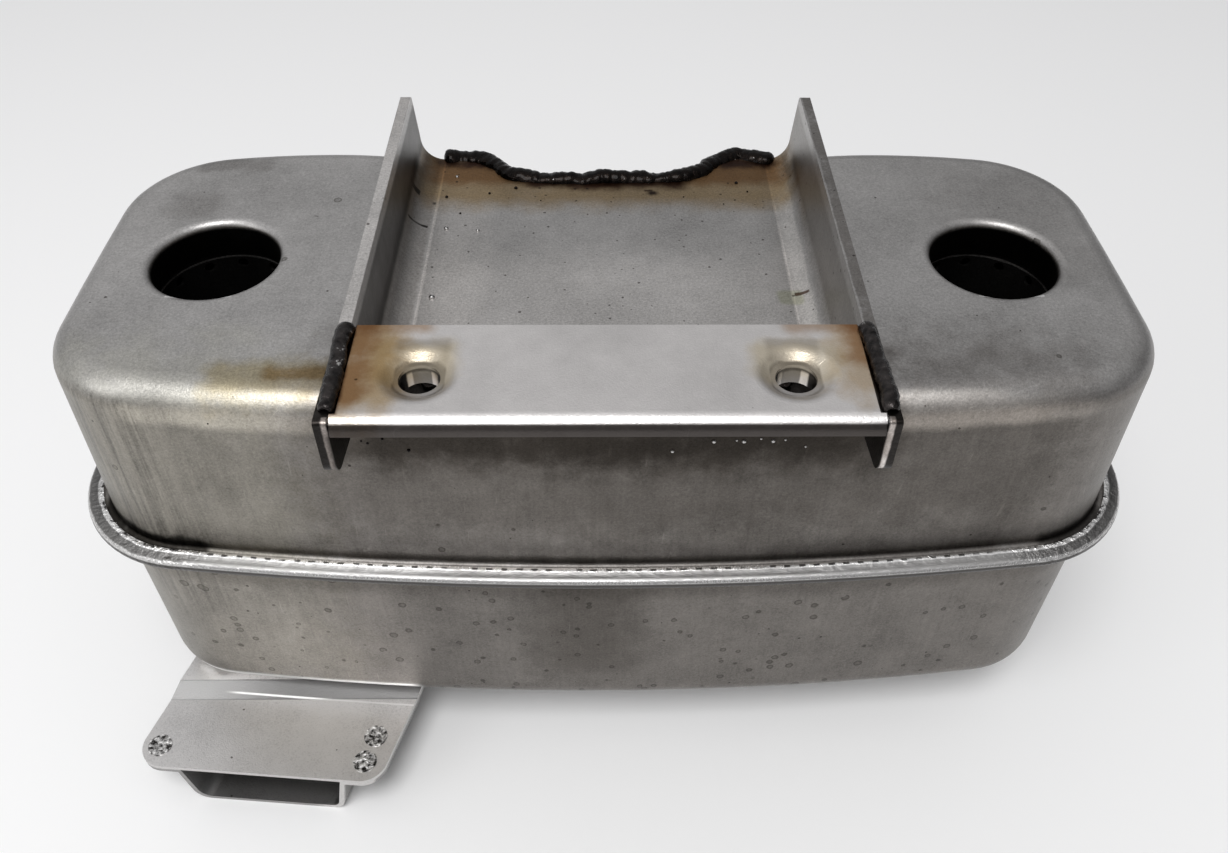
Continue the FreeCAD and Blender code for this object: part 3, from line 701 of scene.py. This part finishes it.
# %% [markdown]
# ## Weld metal
# A bead cools under a skin of black glassy scale, with brown in its hollows and here and there a bare
# glint. Its colour is nearly black, so that as a metal it mirrors little but the lamps. A low roughness and
# a thin coat give the wet look. The beads at the strap's ends are greyer and barer than the rear one.

# %% Dark weld metal
bare_glint = (0.55, 0.54, 0.53, 1)


def weld_metal(name, darkest, palest, bare_from):
    """Black glassy scale over weld metal, with brown in the hollows and bare glints above a level."""
    material, tree, shader = start_material(name)
    grain = use_group(tree, sheet_grain, Cloud_Size=420.0, Speckle_Size=1500.0)
    level = calc(tree, "ADD", 0.25, times(tree, grain["Clouds"], 1.5), clamp=True)
    colour = mix_colour(tree, level, darkest, palest)
    bareness = total(tree, grain["Clouds"], times(tree, grain["Speckle"], 0.5))
    bare = ramp(tree, bareness, bare_from, bare_from + 0.06)
    colour = mix_colour(tree, bare, colour, bare_glint)
    feed(tree, shader.inputs["Base Color"], colour)
    feed(tree, shader.inputs["Roughness"], total(tree, 0.24, times(tree, grain["Clouds"], 0.3)))
    height = total(tree, grain["Speckle"], grain["Clouds"])
    feed(tree, shader.inputs["Normal"], bump(tree, height, 0.5, 0.4 * MM))
    shader.inputs["Coat Weight"].default_value = 0.12
    shader.inputs["Coat Roughness"].default_value = 0.05
    return material


weld_scale = weld_metal("weld_scale", darkest=(0.003, 0.0025, 0.0025, 1), palest=(0.018, 0.012, 0.009, 1),
                        bare_from=0.20)
weld_skin = weld_metal("weld_skin", darkest=(0.008, 0.007, 0.007, 1), palest=(0.13, 0.115, 0.11, 1),
                       bare_from=0.16)
print("weld metals:", weld_scale.name, "and", weld_skin.name)

# %% [markdown]
# ## Growing pieces with Geometry Nodes
# A weld bead follows a path, and spatter is one small ball many times, so both come from node trees. The
# helper gives a path to a tree, sets the tree's inputs by their identifiers, and keeps the plain mesh. An
# input's name is written with underscores for its spaces.

# %% Grow a piece from a path
def grow(name, runs, tree, **values):
    """Runs a Geometry Nodes tree on lists of points, and keeps the result as a plain mesh."""
    points = [p for run in runs for p in run]
    edges = []
    start = 0
    for run in runs:
        edges += [(start + i, start + i + 1) for i in range(len(run) - 1)]
        start += len(run)
    path = bpy.data.meshes.new(name + "_path")
    path.from_pydata(points, edges, [])
    piece = bpy.data.objects.new(name, path)
    bpy.context.scene.collection.objects.link(piece)
    modifier = piece.modifiers.new("grow", "NODES")
    modifier.node_group = tree
    for item in tree.interface.items_tree:
        label = item.name.replace(" ", "_")
        if item.in_out == "INPUT" and label in values:
            modifier[item.identifier] = values[label]
    grown = piece.evaluated_get(bpy.context.evaluated_depsgraph_get())
    mesh = bpy.data.meshes.new_from_object(grown)
    piece.modifiers.clear()
    piece.data = mesh
    print(name, "has", len(mesh.polygons), "faces")
    return piece


# %% [markdown]
# ## Weld beads
# A bead is a row of frozen puddles. The tree sweeps a circle along the path, pulls both ends in to a
# round tip, and then moves the skin along its own normal: in scallops at the ripple spacing, and in slow
# swellings where the torch lingered.

# %% Weld bead tree
def make_weld_bead():
    """Sweeps a rippled bead with round tips along each path."""
    tree, given, out = new_group(
        "weld bead",
        [("Geometry", "Geometry", None), ("Radius", "Float", 0.0027), ("Ripple Spacing", "Float", 0.0022),
         ("Ripple Height", "Float", 0.0004), ("Swelling", "Float", 0.35), ("Wander", "Float", 0.0008),
         ("Seed", "Float", 0.0), ("Finish", "Material", None)],
        [("Geometry", "Geometry")], "GeometryNodeTree")
    radius = given["Radius"]
    curve = put(tree, "GeometryNodeMeshToCurve", {0: given["Geometry"]})
    curve = put(tree, "GeometryNodeCurveSplineType", {0: curve}, spline_type="CATMULL_ROM")
    curve = put(tree, "GeometryNodeResampleCurve", {0: curve, "Length": 0.0004}, mode="LENGTH")
    place = put(tree, "GeometryNodeInputPosition")
    drift = seeded_noise(tree, place, given["Seed"], 130.0, 2.0)["Color"]
    drift = scaled(tree, vector(tree, "SUBTRACT", drift, (0.5, 0.5, 0.5)), given["Wander"])
    curve = put(tree, "GeometryNodeSetPosition", {0: curve, "Offset": drift})
    so_far = put(tree, "GeometryNodeSplineParameter").outputs["Length"]
    whole = put(tree, "GeometryNodeSplineLength").outputs["Length"]
    to_tip = calc(tree, "MINIMUM", so_far, calc(tree, "SUBTRACT", whole, so_far))
    for name, value in (("along", so_far), ("to_tip", to_tip)):
        curve = put(tree, "GeometryNodeStoreNamedAttribute", {0: curve, "Name": name, "Value": value})
    circle = put(tree, "GeometryNodeCurvePrimitiveCircle", {"Resolution": 18, "Radius": radius})
    skin = put(tree, "GeometryNodeCurveToMesh", {0: curve, 1: circle, "Fill Caps": True})
    along = put(tree, "GeometryNodeInputNamedAttribute", {"Name": "along"}).outputs[0]
    to_tip = put(tree, "GeometryNodeInputNamedAttribute", {"Name": "to_tip"}).outputs[0]
    short = calc(tree, "MAXIMUM", calc(tree, "SUBTRACT", radius, to_tip), 0.0)
    tip_squared = calc(tree, "SUBTRACT", times(tree, radius, radius), times(tree, short, short))
    tip = calc(tree, "SQRT", calc(tree, "MAXIMUM", tip_squared, 0.0))
    tuck = calc(tree, "SUBTRACT", tip, radius)
    normal = put(tree, "GeometryNodeInputNormal").outputs[0]
    sag = times(tree, flip(tree, parts(tree, normal)[2]), 0.35)
    stir = seeded_noise(tree, place, given["Seed"], 420.0, 3.0)[0]
    phase = total(tree, calc(tree, "DIVIDE", along, given["Ripple Spacing"]), sag, times(tree, stir, 1.6))
    scallop = calc(tree, "ABSOLUTE", calc(tree, "SINE", times(tree, phase, math.pi)))
    ripple = times(tree, calc(tree, "SUBTRACT", scallop, 0.6), given["Ripple Height"])
    slow = seeded_noise(tree, place, given["Seed"], 170.0, 3.0)[0]
    swell = times(tree, calc(tree, "SUBTRACT", slow, 0.5), given["Swelling"], radius, 2.0)
    room = calc(tree, "DIVIDE", tip, radius, clamp=True)
    move = total(tree, tuck, times(tree, total(tree, ripple, swell), room))
    skin = put(tree, "GeometryNodeSetPosition", {0: skin, "Offset": scaled(tree, normal, move)})
    skin = put(tree, "GeometryNodeSetShadeSmooth", {0: skin})
    skin = put(tree, "GeometryNodeRealizeInstances", {0: skin})
    feed(tree, out["Geometry"], put(tree, "GeometryNodeSetMaterial", {0: skin, "Material": given["Finish"]}))
    return tree


weld_bead = counted(make_weld_bead())

# %% [markdown]
# ## The rear bead
# The welder laid the bead round the base's back edge and into its wide notch, so it bends twice and grows
# thick at each corner. Its path is a few points on the edge, and the tree does the rest. Two short beads
# hold the base's front edge, under the strap.

# %% Rear bead and front beads
bead_z = top_z / MM + 2.0
rear_path = [(-52.6, 132.4), (-46, 133.4), (-40, 132.6), (-34.5, 128), (-30, 123), (-23, 121), (-12, 120.4),
             (0, 120.8), (12, 121.0), (22, 121.2), (29, 123.6), (33.5, 128.6), (38, 133), (43, 135.2),
             (48, 133.2), (52.6, 132.2), (55.0, 131.6)]
rear_weld = grow("rear_weld_bead", [[mm(x, y, bead_z) for x, y in rear_path]], weld_bead,
                 Radius=3.1 * MM, Ripple_Spacing=2.8 * MM, Ripple_Height=0.22 * MM, Swelling=0.45,
                 Wander=2.4 * MM, Seed=3.0, Finish=weld_scale)
front_y = 27.4
front_middles = (-32, 32)
front_steps = (-15.5, -5, 5, 15.5)
front_runs = [[mm(middle + step, front_y, bead_z - 0.3) for step in front_steps] for middle in front_middles]
front_welds = grow("front_weld_beads", front_runs, weld_bead,
                   Radius=2.3 * MM, Ripple_Spacing=2.2 * MM, Ripple_Height=0.25 * MM, Swelling=0.25,
                   Wander=0.8 * MM, Seed=8.0, Finish=weld_scale)

# %% [markdown]
# ## The beads at the strap's ends
# Each bead runs down the joint between the strap and an arm, from the back corner to the front, and ends
# in a lump on the arm's nose. The two were laid by hand, so each has its own path.

# %% Strap end beads
left_path = [(-59.0, 16.4, 0.1), (-59.6, 13.5, 0.3), (-59.8, 9, 0.3), (-59.6, 3, 0.3), (-59.5, -3, 0.3),
             (-59.4, -8, 0.3), (-59.7, -12.6, 0.0)]
right_path = [(58.9, 16.4, 0.1), (59.3, 12, 0.3), (59.6, 5, 0.3), (60.0, -1, 0.3), (60.2, -6.5, 0.3),
              (59.9, -10, 0.2), (59.8, -13, -0.1)]
strap_beads = {}
for side, path, seed in (("left", left_path, 11.0), ("right", right_path, 17.0)):
    strap_beads[side] = grow("strap_weld_bead_" + side, [[mm(*p) for p in path]], weld_bead,
                             Radius=1.95 * MM, Ripple_Spacing=2.6 * MM, Ripple_Height=0.15 * MM,
                             Swelling=0.4, Wander=0.9 * MM, Seed=seed, Finish=weld_skin)

# %% [markdown]
# ## Spatter
# A wire welder throws small balls that freeze onto the sheet. The tree puts one ball on each point, at a
# size of its own, and every point is first seated on the surface under it, so each ball is sunk by half.

# %% Spatter tree
def make_spatter():
    """Sets a ball of random size on each point."""
    tree, given, out = new_group(
        "spatter",
        [("Geometry", "Geometry", None), ("Radius", "Float", 0.0006), ("Seed", "Int", 0),
         ("Finish", "Material", None)],
        [("Geometry", "Geometry")], "GeometryNodeTree")
    ball = put(tree, "GeometryNodeMeshIcoSphere", {"Radius": given["Radius"], "Subdivisions": 3})
    size = put(tree, "FunctionNodeRandomValue", {2: 0.5, 3: 1.3, "Seed": given["Seed"]}, data_type="FLOAT")
    balls = put(tree, "GeometryNodeInstanceOnPoints",
                {0: given["Geometry"], "Instance": ball.outputs[0], "Scale": size.outputs[1]})
    balls = put(tree, "GeometryNodeRealizeInstances", {0: balls})
    balls = put(tree, "GeometryNodeSetShadeSmooth", {0: balls})
    feed(tree, out["Geometry"], put(tree, "GeometryNodeSetMaterial", {0: balls, "Material": given["Finish"]}))
    return tree


spatter = counted(make_spatter())


# %% Seating points on a surface
def seated(node, places):
    """The nearest points on a node's surface to places in millimetres."""
    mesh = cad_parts[node].data
    tree = BVHTree.FromPolygons([v.co for v in mesh.vertices], [p.vertices for p in mesh.polygons])
    return [tree.find_nearest(mm(*p))[0] for p in places]


# %% [markdown]
# Three kinds of spatter lie on this muffler: bright balls on the wall under the strap, a few glints on the
# base, and dark ones on both.

# %% Spatter
wall_places = [(27.7, 12, -40.2), (33.6, 12, -40.0), (35.5, 12, -40.4), (39.9, 12, -39.6), (43.2, 12, -40.6),
               (46.4, 12, -40.3), (52.0, 12, -43.0), (17.0, 12, -43.5)]
glint_places = [(-46.9, 121.5, -25), (-47.4, 93, -25), (-48, 59.9, -25), (-38, 92, -25)]
dark_wall_places = [(-64.2, 12, -41.3), (-62.6, 12, -42.0), (-58.4, 12, -40.2), (-71.0, 14, -33.0),
                    (69.0, 14, -34.0), (-104, 14, -38), (-52, 12, -44)]
dark_base_places = [(-36, 112, -25), (-20, 108, -25), (-28, 115, -25), (-49, 110, -25), (24, 110, -25),
                    (36, 106, -25), (44, 113, -25), (41, 118, -25), (-44, 101, -25)]

wall_points = seated("upper_shell", wall_places)
glint_points = seated("mounting_bracket", glint_places)
dark_points = seated("mounting_bracket", dark_base_places) + seated("upper_shell", dark_wall_places)

wall_spatter = grow("spatter_on_wall", [[p] for p in wall_points], spatter,
                    Radius=0.5 * MM, Seed=4, Finish=duct_steel)
base_glints = grow("glints_on_base", [[p] for p in glint_points], spatter,
                   Radius=0.8 * MM, Seed=2, Finish=duct_steel)
dark_spatter = grow("dark_spatter", [[p] for p in dark_points], spatter,
                    Radius=0.45 * MM, Seed=9, Finish=weld_scale)

# %% [markdown]
# ## Spot welds
# A resistance weld leaves a round dent with a torn, cratered floor. The tree makes one disc with rings of
# faces, sets it on each weld's place and pushes its top up and down with noise.

# %% Spot weld tree
def make_spot_weld():
    """Sets a cratered disc on each point."""
    tree, given, out = new_group(
        "spot weld",
        [("Geometry", "Geometry", None), ("Radius", "Float", 0.0038), ("Thickness", "Float", 0.0006),
         ("Crater", "Float", 0.0003), ("Finish", "Material", None)],
        [("Geometry", "Geometry")], "GeometryNodeTree")
    disc = put(tree, "GeometryNodeMeshCylinder",
               {"Vertices": 40, "Side Segments": 1, "Fill Segments": 10, "Radius": given["Radius"],
                "Depth": given["Thickness"]})
    place = put(tree, "GeometryNodeInputPosition")
    height = parts(tree, place)[2]
    disc = put(tree, "GeometryNodeStoreNamedAttribute", {0: disc.outputs[0], "Name": "rise", "Value": height})
    discs = put(tree, "GeometryNodeInstanceOnPoints", {0: given["Geometry"], "Instance": disc})
    discs = put(tree, "GeometryNodeRealizeInstances", {0: discs})
    rough = put(tree, "ShaderNodeTexNoise", {"Vector": place, "Scale": 900.0, "Detail": 3.0})
    rise = put(tree, "GeometryNodeInputNamedAttribute", {"Name": "rise"}).outputs[0]
    is_top = calc(tree, "GREATER_THAN", rise, 0.0)
    lift = times(tree, calc(tree, "SUBTRACT", rough.outputs[0], 0.5), given["Crater"], is_top, 2.0)
    offset = put(tree, "ShaderNodeCombineXYZ", {2: lift})
    discs = put(tree, "GeometryNodeSetPosition", {0: discs, "Offset": offset})
    feed(tree, out["Geometry"], put(tree, "GeometryNodeSetMaterial", {0: discs, "Material": given["Finish"]}))
    return tree


spot_weld = counted(make_spot_weld())


# %% Spot weld metal
def spot_metal():
    """Burnt and torn sheet with bright scraps."""
    material, tree, shader = start_material("spot_weld_metal")
    grain = use_group(tree, sheet_grain, Cloud_Size=620.0, Speckle_Size=2600.0, Seed=5.0)
    level = calc(tree, "ADD", 0.45, times(tree, grain["Clouds"], 6.0), clamp=True)
    colour = mix_colour(tree, level, (0.03, 0.028, 0.026, 1), (0.80, 0.79, 0.78, 1))
    feed(tree, shader.inputs["Base Color"], colour)
    feed(tree, shader.inputs["Roughness"], total(tree, 0.42, times(tree, grain["Speckle"], 0.3)))
    feed(tree, shader.inputs["Normal"], bump(tree, grain["Clouds"], 0.7, 0.6 * MM))
    return material


# %% Spot welds
spot_low, spot_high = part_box("outlet_spot_welds")
spot_z = (spot_low.z + spot_high.z) / 2 / MM
spot_places = [(-146.8, 3.2, spot_z), (-76.5, 6.1, spot_z), (-78.7, -2.9, spot_z)]
spot_welds = grow("outlet_spot_buttons", [[mm(*p)] for p in spot_places], spot_weld,
                  Radius=3.8 * MM, Thickness=0.3 * MM, Crater=0.25 * MM, Finish=spot_metal())

# %% [markdown]
# ## The rolled hem
# Rollers fold the lower flange over the upper one. They polish the fold's outer edge, and press a row of
# short dark dashes along the lip. Such marks follow the hem round the whole muffler, so the shell's mesh
# is copied, and two attributes on the copy say how far a corner of a face lies from the hem's outer edge,
# and how far round it has come. The copy's loose triangles are joined, and they keep their normals.

# %% The hem's outline
def outer_loop(points):
    """The convex outline of a set of points, anticlockwise."""
    points = sorted(set((round(x, 6), round(y, 6)) for x, y in points))

    def half(run):
        kept = []
        for p in run:
            while len(kept) > 1:
                a, b = kept[-2], kept[-1]
                if (b[0] - a[0]) * (p[1] - a[1]) - (b[1] - a[1]) * (p[0] - a[0]) > 0:
                    break
                kept.pop()
            kept.append(p)
        return kept[:-1]

    return half(points) + half(points[::-1])


# %% Measuring along the outline
def hem_measures(points, loop):
    """For each point, its distance inside the loop and how far round the loop it lies, and the whole way."""
    corners = [Vector(p) for p in loop]
    spans = [(a, b - a) for a, b in zip(corners, corners[1:] + corners[:1])]
    starts = [0.0]
    for a, run in spans:
        starts.append(starts[-1] + run.length)
    measured = []
    for point in points:
        best = (1.0, 0.0)
        for (a, run), start in zip(spans, starts):
            t = max(0.0, min(1.0, (point - a).dot(run) / run.length_squared))
            gap = (point - a - run * t).length
            if gap < best[0]:
                best = (gap, start + t * run.length)
        measured.append(best)
    return measured, starts[-1]


# %% Joined copy with the hem's own coordinates
hem_depth = 4.5 * MM


def copy_with_hem(name, node):
    """A joined copy of a node's mesh, with the attributes across and along, and its own normals."""
    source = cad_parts[node].data
    index = {}
    places = []
    of_vertex = []
    for vertex in source.vertices:
        key = tuple(round(c, 7) for c in vertex.co)
        if key not in index:
            index[key] = len(places)
            places.append(vertex.co.copy())
        of_vertex.append(index[key])
    faces = []
    normals = []
    for face in source.polygons:
        corners = [of_vertex[v] for v in face.vertices]
        if len(set(corners)) == 3:
            faces.append(corners)
            normals += [source.corner_normals[i].vector.copy() for i in face.loop_indices]
    mesh = bpy.data.meshes.new(name)
    mesh.from_pydata(places, [], faces)
    mesh.normals_split_custom_set(normals)
    hem = [p for p in places if p.z > hem_z - hem_depth]
    measured, way = hem_measures([p.xy for p in places], outer_loop([(p.x, p.y) for p in hem]))
    across = mesh.attributes.new("across", "FLOAT", "CORNER")
    along = mesh.attributes.new("along", "FLOAT", "CORNER")
    for face in mesh.polygons:
        first = measured[face.vertices[0]][1]
        for loop_index, vertex in zip(face.loop_indices, face.vertices):
            gap, so_far = measured[vertex]
            so_far += way * round((first - so_far) / way)
            across.data[loop_index].value = gap
            along.data[loop_index].value = so_far
    piece = bpy.data.objects.new(name, mesh)
    bpy.context.scene.collection.objects.link(piece)
    print(name, "has", len(places), "points, and its hem is", round(way / MM), "mm round")
    return piece, way


lower_copy, hem_way = copy_with_hem("lower_shell_with_hem", "lower_shell")

# %% [markdown]
# ## The hem's finish
# The finish of the hem lies over the shell's sheet steel: a polished outer edge that is painted pale as a
# highlight too, a grey flat, and a lip painted bright as a highlight, with the rollers' dashes in it. Just
# under the hem the wall gets a band of painted shade. At the body's round corners the metal was crumpled and
# lightly torn instead. Each mark is a band of the distance from the outer edge, and the dash's pitch is
# trimmed so that a whole number of dashes goes round.

# %% Bands and tones of the hem
dash_pitch = hem_way / round(hem_way / (4.3 * MM))
edge_band = (-2.0, 0.9)
lip_band = (3.6, 5.6)
dash_band = (3.95, 4.75, 0.15)
torn_band = (4.3, 7.0, 0.3)
roll_band = (3.2, 6.6, 1.6)
corner_from = 112 * MM
corner_full = 128 * MM
hem_flat = (0.33, 0.326, 0.322, 1)
hem_corner = (0.13, 0.127, 0.124, 1)
# The edge tone is partly polish and partly painted highlight, and the lip tone is a painted highlight.
edge_polish_and_highlight = (0.78, 0.77, 0.76, 1)
lip_painted_highlight = (0.95, 0.94, 0.93, 1)
dash_dark = (0.08, 0.075, 0.07, 1)
# This dark is torn metal at the corners and painted shade under the hem.
tear_and_shade_dark = (0.05, 0.047, 0.045, 1)
print("dashes round the hem:", round(hem_way / dash_pitch))


# %% Line of light along the lower shell's foot
def foot_line(tree, place, off_hem):
    """A mask of the line where the lower shell's bottom edge catches light over the duct's plate."""
    x, y, z = parts(tree, place)
    downward = ramp(tree, times(tree, surface_facing(tree)[2], -1.0), 0.10, 0.24)
    return times(tree, downward, off_hem, flip(tree, ramp(tree, x, -66 * MM, -60 * MM)),
                 calc(tree, "LESS_THAN", z, hem_z - 40 * MM), calc(tree, "LESS_THAN", y, 30 * MM))


# %% Hem finish
def hem_finish(tree, colour, rough, normal):
    """Lays the rollers' marks over the lower shell's colour, roughness and normal, with painted highlights on
    the polished edge, the lip and the foot, and painted shade under the hem.
    """
    across = put(tree, "ShaderNodeAttribute", attribute_name="across").outputs["Fac"]
    along = put(tree, "ShaderNodeAttribute", attribute_name="along").outputs["Fac"]
    place = object_place(tree)
    x, _, z = parts(tree, place)
    on_hem = ramp(tree, z, hem_z - 5.2 * MM, hem_z - 4.6 * MM)
    corner = ramp(tree, calc(tree, "ABSOLUTE", x), corner_from, corner_full)
    wobble = times(tree, noise(tree, place, 240.0, 3.0), 0.9 * MM)
    reach = total(tree, across, wobble)

    def band(low, high, soft=0.25):
        """A soft band of the distance from the outer edge, in millimetres."""
        start = ramp(tree, reach, (low - soft) * MM, (low + soft) * MM)
        end = ramp(tree, reach, (high - soft) * MM, (high + soft) * MM)
        return times(tree, start, flip(tree, end), on_hem)

    edge = band(*edge_band)
    lip = band(*lip_band)
    turns = calc(tree, "DIVIDE", total(tree, along, times(tree, wobble, 1.5)), dash_pitch)
    turn = calc(tree, "FRACT", turns)
    dash = times(tree, ramp(tree, turn, 0.50, 0.58), flip(tree, ramp(tree, turn, 0.92, 1.0)),
                 band(*dash_band), ramp(tree, noise(tree, place, 90.0, 2.0), -0.16, -0.04),
                 flip(tree, corner))
    crumple = times(tree, noise(tree, place, 420.0, 4.0), corner, on_hem)
    torn = times(tree, band(*torn_band), corner, ramp(tree, crumple, -0.02, 0.08))
    # Painted shade: a dark band just under the hem.
    under_hem_shade = times(tree, flip(tree, ramp(tree, z, hem_z - 1.7 * MM, hem_z - 1.1 * MM)),
                 ramp(tree, z, hem_z - 7.5 * MM, hem_z - 5.0 * MM))
    foot = foot_line(tree, place, flip(tree, on_hem))
    # The edge's tone is polish and painted highlight, the lip's tone is a painted highlight, the band under
    # the hem is painted shade and the foot's line is a painted highlight.
    for mask, strength, tone in ((on_hem, 0.75, hem_flat), (times(tree, on_hem, corner), 0.7, hem_corner),
                                 (edge, 0.85, edge_polish_and_highlight), (lip, 0.9, lip_painted_highlight), (dash, 0.92, dash_dark),
                                 (torn, 1.0, tear_and_shade_dark), (under_hem_shade, 0.95, tear_and_shade_dark), (foot, 1.0, painted_highlight_white)):
        colour = mix_colour(tree, times(tree, mask, strength), colour, tone)
    polished = times(tree, calc(tree, "MAXIMUM", edge, lip), -0.14)
    roll = total(tree, times(tree, band(*roll_band), on_hem), times(tree, crumple, 0.9))
    rolled = bump(tree, roll, 1.0, 1.1 * MM)
    feed(tree, rolled.inputs["Normal"], normal)
    return colour, total(tree, rough, polished), rolled


# %% Lower shell
lower_stains = [
    # Painted highlight along the lower shell's foot.
    ((-104, 18, -160.2), (40, 16, 1.2), 1.0, 0.3, (2.6, 2.6, 2.55, 1), 1.0),
    # Painted shade on the front wall, in the middle and toward the right.
    ((-6, 12, -118), (5, 12, 18), 22, 9, smoke_and_shade, 0.7),
    ((40, 12, -118), (110, 12, 30), 40, 22, smoke_and_shade, 0.45),
    # Painted light: the left end of the wall is made paler.
    ((-120, 14, -120), (26, 16, 26), 26, 18, (1.06, 1.06, 1.0, 1), 0.8),
    ((-6.3, 9.6, -91.3), (5.5, 1.4, 0.7), 0.8, 0.5, burnt, 0.95),
    # Painted shade on the wall just under the hem.
    ((0, 80, -98), (170, 80, 4), 7, 2, (0.72, 0.71, 0.70, 1), 0.9),
]
lower_steel = sheet_steel("lower_shell_steel", tone=0.52, seed=2.0, roughness=0.40, stains=lower_stains,
                          rings=0.55, specks=0.2, speckle=0.85, finish=hem_finish)
lower_copy.data.materials.append(lower_steel)
print("the lower shell's copy wears", lower_steel.name)

# %% [markdown]
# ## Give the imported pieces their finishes
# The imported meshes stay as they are. Only their material slots change. The weld nodes get a finish too,
# though beads stand for them in the picture.

# %% Assign the finishes
finish_of = {
    "upper_shell": shell_steel, "lower_shell": lower_steel, "baffle_plate": inner_steel,
    "inlet_tube_left": inner_steel, "inlet_tube_right": inner_steel,
    "transfer_tube_left": inner_steel, "transfer_tube_right": inner_steel,
    "mounting_bracket": bracket_steel, "bolt_strap": strap_steel,
    "rear_weld": weld_scale, "front_welds": weld_scale, "strap_weld_left": weld_scale,
    "strap_weld_right": weld_scale, "outlet_plate": duct_steel, "outlet_pan": duct_steel,
    "outlet_spot_welds": duct_steel,
}
for name, material in finish_of.items():
    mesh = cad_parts[name].data
    mesh.materials.clear()
    mesh.materials.append(material)
print("dressed", len(finish_of), "pieces")

# %% [markdown]
# ## Tie the new pieces to the model
# Every new piece rides on the muffler's one body, and one that stands for a imported piece hides that node.

# %% Ride and replace
stands_for = [
    (lower_copy, "lower_shell", "shell_steel"), (rear_weld, "rear_weld", "weld_bead"),
    (front_welds, "front_welds", "weld_bead"), (strap_beads["left"], "strap_weld_left", "weld_bead"),
    (strap_beads["right"], "strap_weld_right", "weld_bead"), (spot_welds, "outlet_spot_welds", "spot_weld"),
]
for piece, node, slot in stands_for:
    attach(piece, "root")
    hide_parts(node)
spatters = (wall_spatter, dark_spatter, base_glints)
for piece in spatters:
    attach(piece, "root")
print("pieces made here:", len(stands_for) + len(spatters))

# %% [markdown]
# ## Studio
# The floor is a plain pale sheet at the muffler's lowest point. It keeps the soft shadow.

# %% Floor
floor_mesh = bpy.data.meshes.new("floor")
half_floor = 3.0
floor_z = cad_box[0][2]
floor_mesh.from_pydata([(-half_floor, -half_floor, floor_z), (half_floor, -half_floor, floor_z),
                        (half_floor, half_floor, floor_z), (-half_floor, half_floor, floor_z)],
                       [], [(0, 1, 2, 3)])
floor = bpy.data.objects.new("floor", floor_mesh)
bpy.context.scene.collection.objects.link(floor)
floor_paint, _, floor_shader = start_material("floor_paint", metallic=0.0, specular=0.0)
floor_shader.inputs["Base Color"].default_value = grey(0.95)
floor_shader.inputs["Roughness"].default_value = 1.0
floor_mesh.materials.append(floor_paint)
print("floor at", round(floor_z / MM, 1), "mm")

# %% [markdown]
# The world is brighter overhead and to the left, as in a room with one large window. Bare steel mirrors it,
# so this slope is what gives the walls their slow change of tone.

# %% World
even_light = 0.22
overhead_light = 0.50
left_light = 0.16
world = bpy.data.worlds.new("studio")
world.use_nodes = True
sky = world.node_tree
direction = parts(sky, put(sky, "ShaderNodeTexCoord").outputs["Generated"])
height = calc(sky, "MAXIMUM", direction[2], 0.0)
light = total(sky, even_light, times(sky, height, overhead_light), times(sky, direction[0], -left_light))
feed(sky, sky.nodes["Background"].inputs["Color"],
     put(sky, "ShaderNodeCombineColor", {0: light, 1: light, 2: times(sky, light, 1.01)}))
bpy.context.scene.world = world
print("world:", world.name)

# %% [markdown]
# One wide soft lamp overhead draws the bright line on every rounded edge, and a weak one at the left keeps
# that end's wall from going dull. The Standard view shows colours about as they are written.

# %% Lamps
def soft_lamp(name, place, aim, size, power):
    """Square area lamp that looks at a point."""
    data = bpy.data.lights.new(name, "AREA")
    data.shape = "SQUARE"
    data.size = size
    data.energy = power
    lamp = bpy.data.objects.new(name, data)
    lamp.location = place
    lamp.rotation_euler = (Vector(aim) - Vector(place)).to_track_quat("-Z", "Y").to_euler()
    bpy.context.scene.collection.objects.link(lamp)


soft_lamp("overhead", place=(-0.15, -0.5, 1.05), aim=(0, 0.05, 0), size=0.6, power=8.5)
soft_lamp("left", place=(-1.0, -0.5, 0.5), aim=(0, 0.05, -0.05), size=0.6, power=1.6)

bpy.context.scene.view_settings.view_transform = "Standard"
print("lamps:", len(bpy.data.lights))
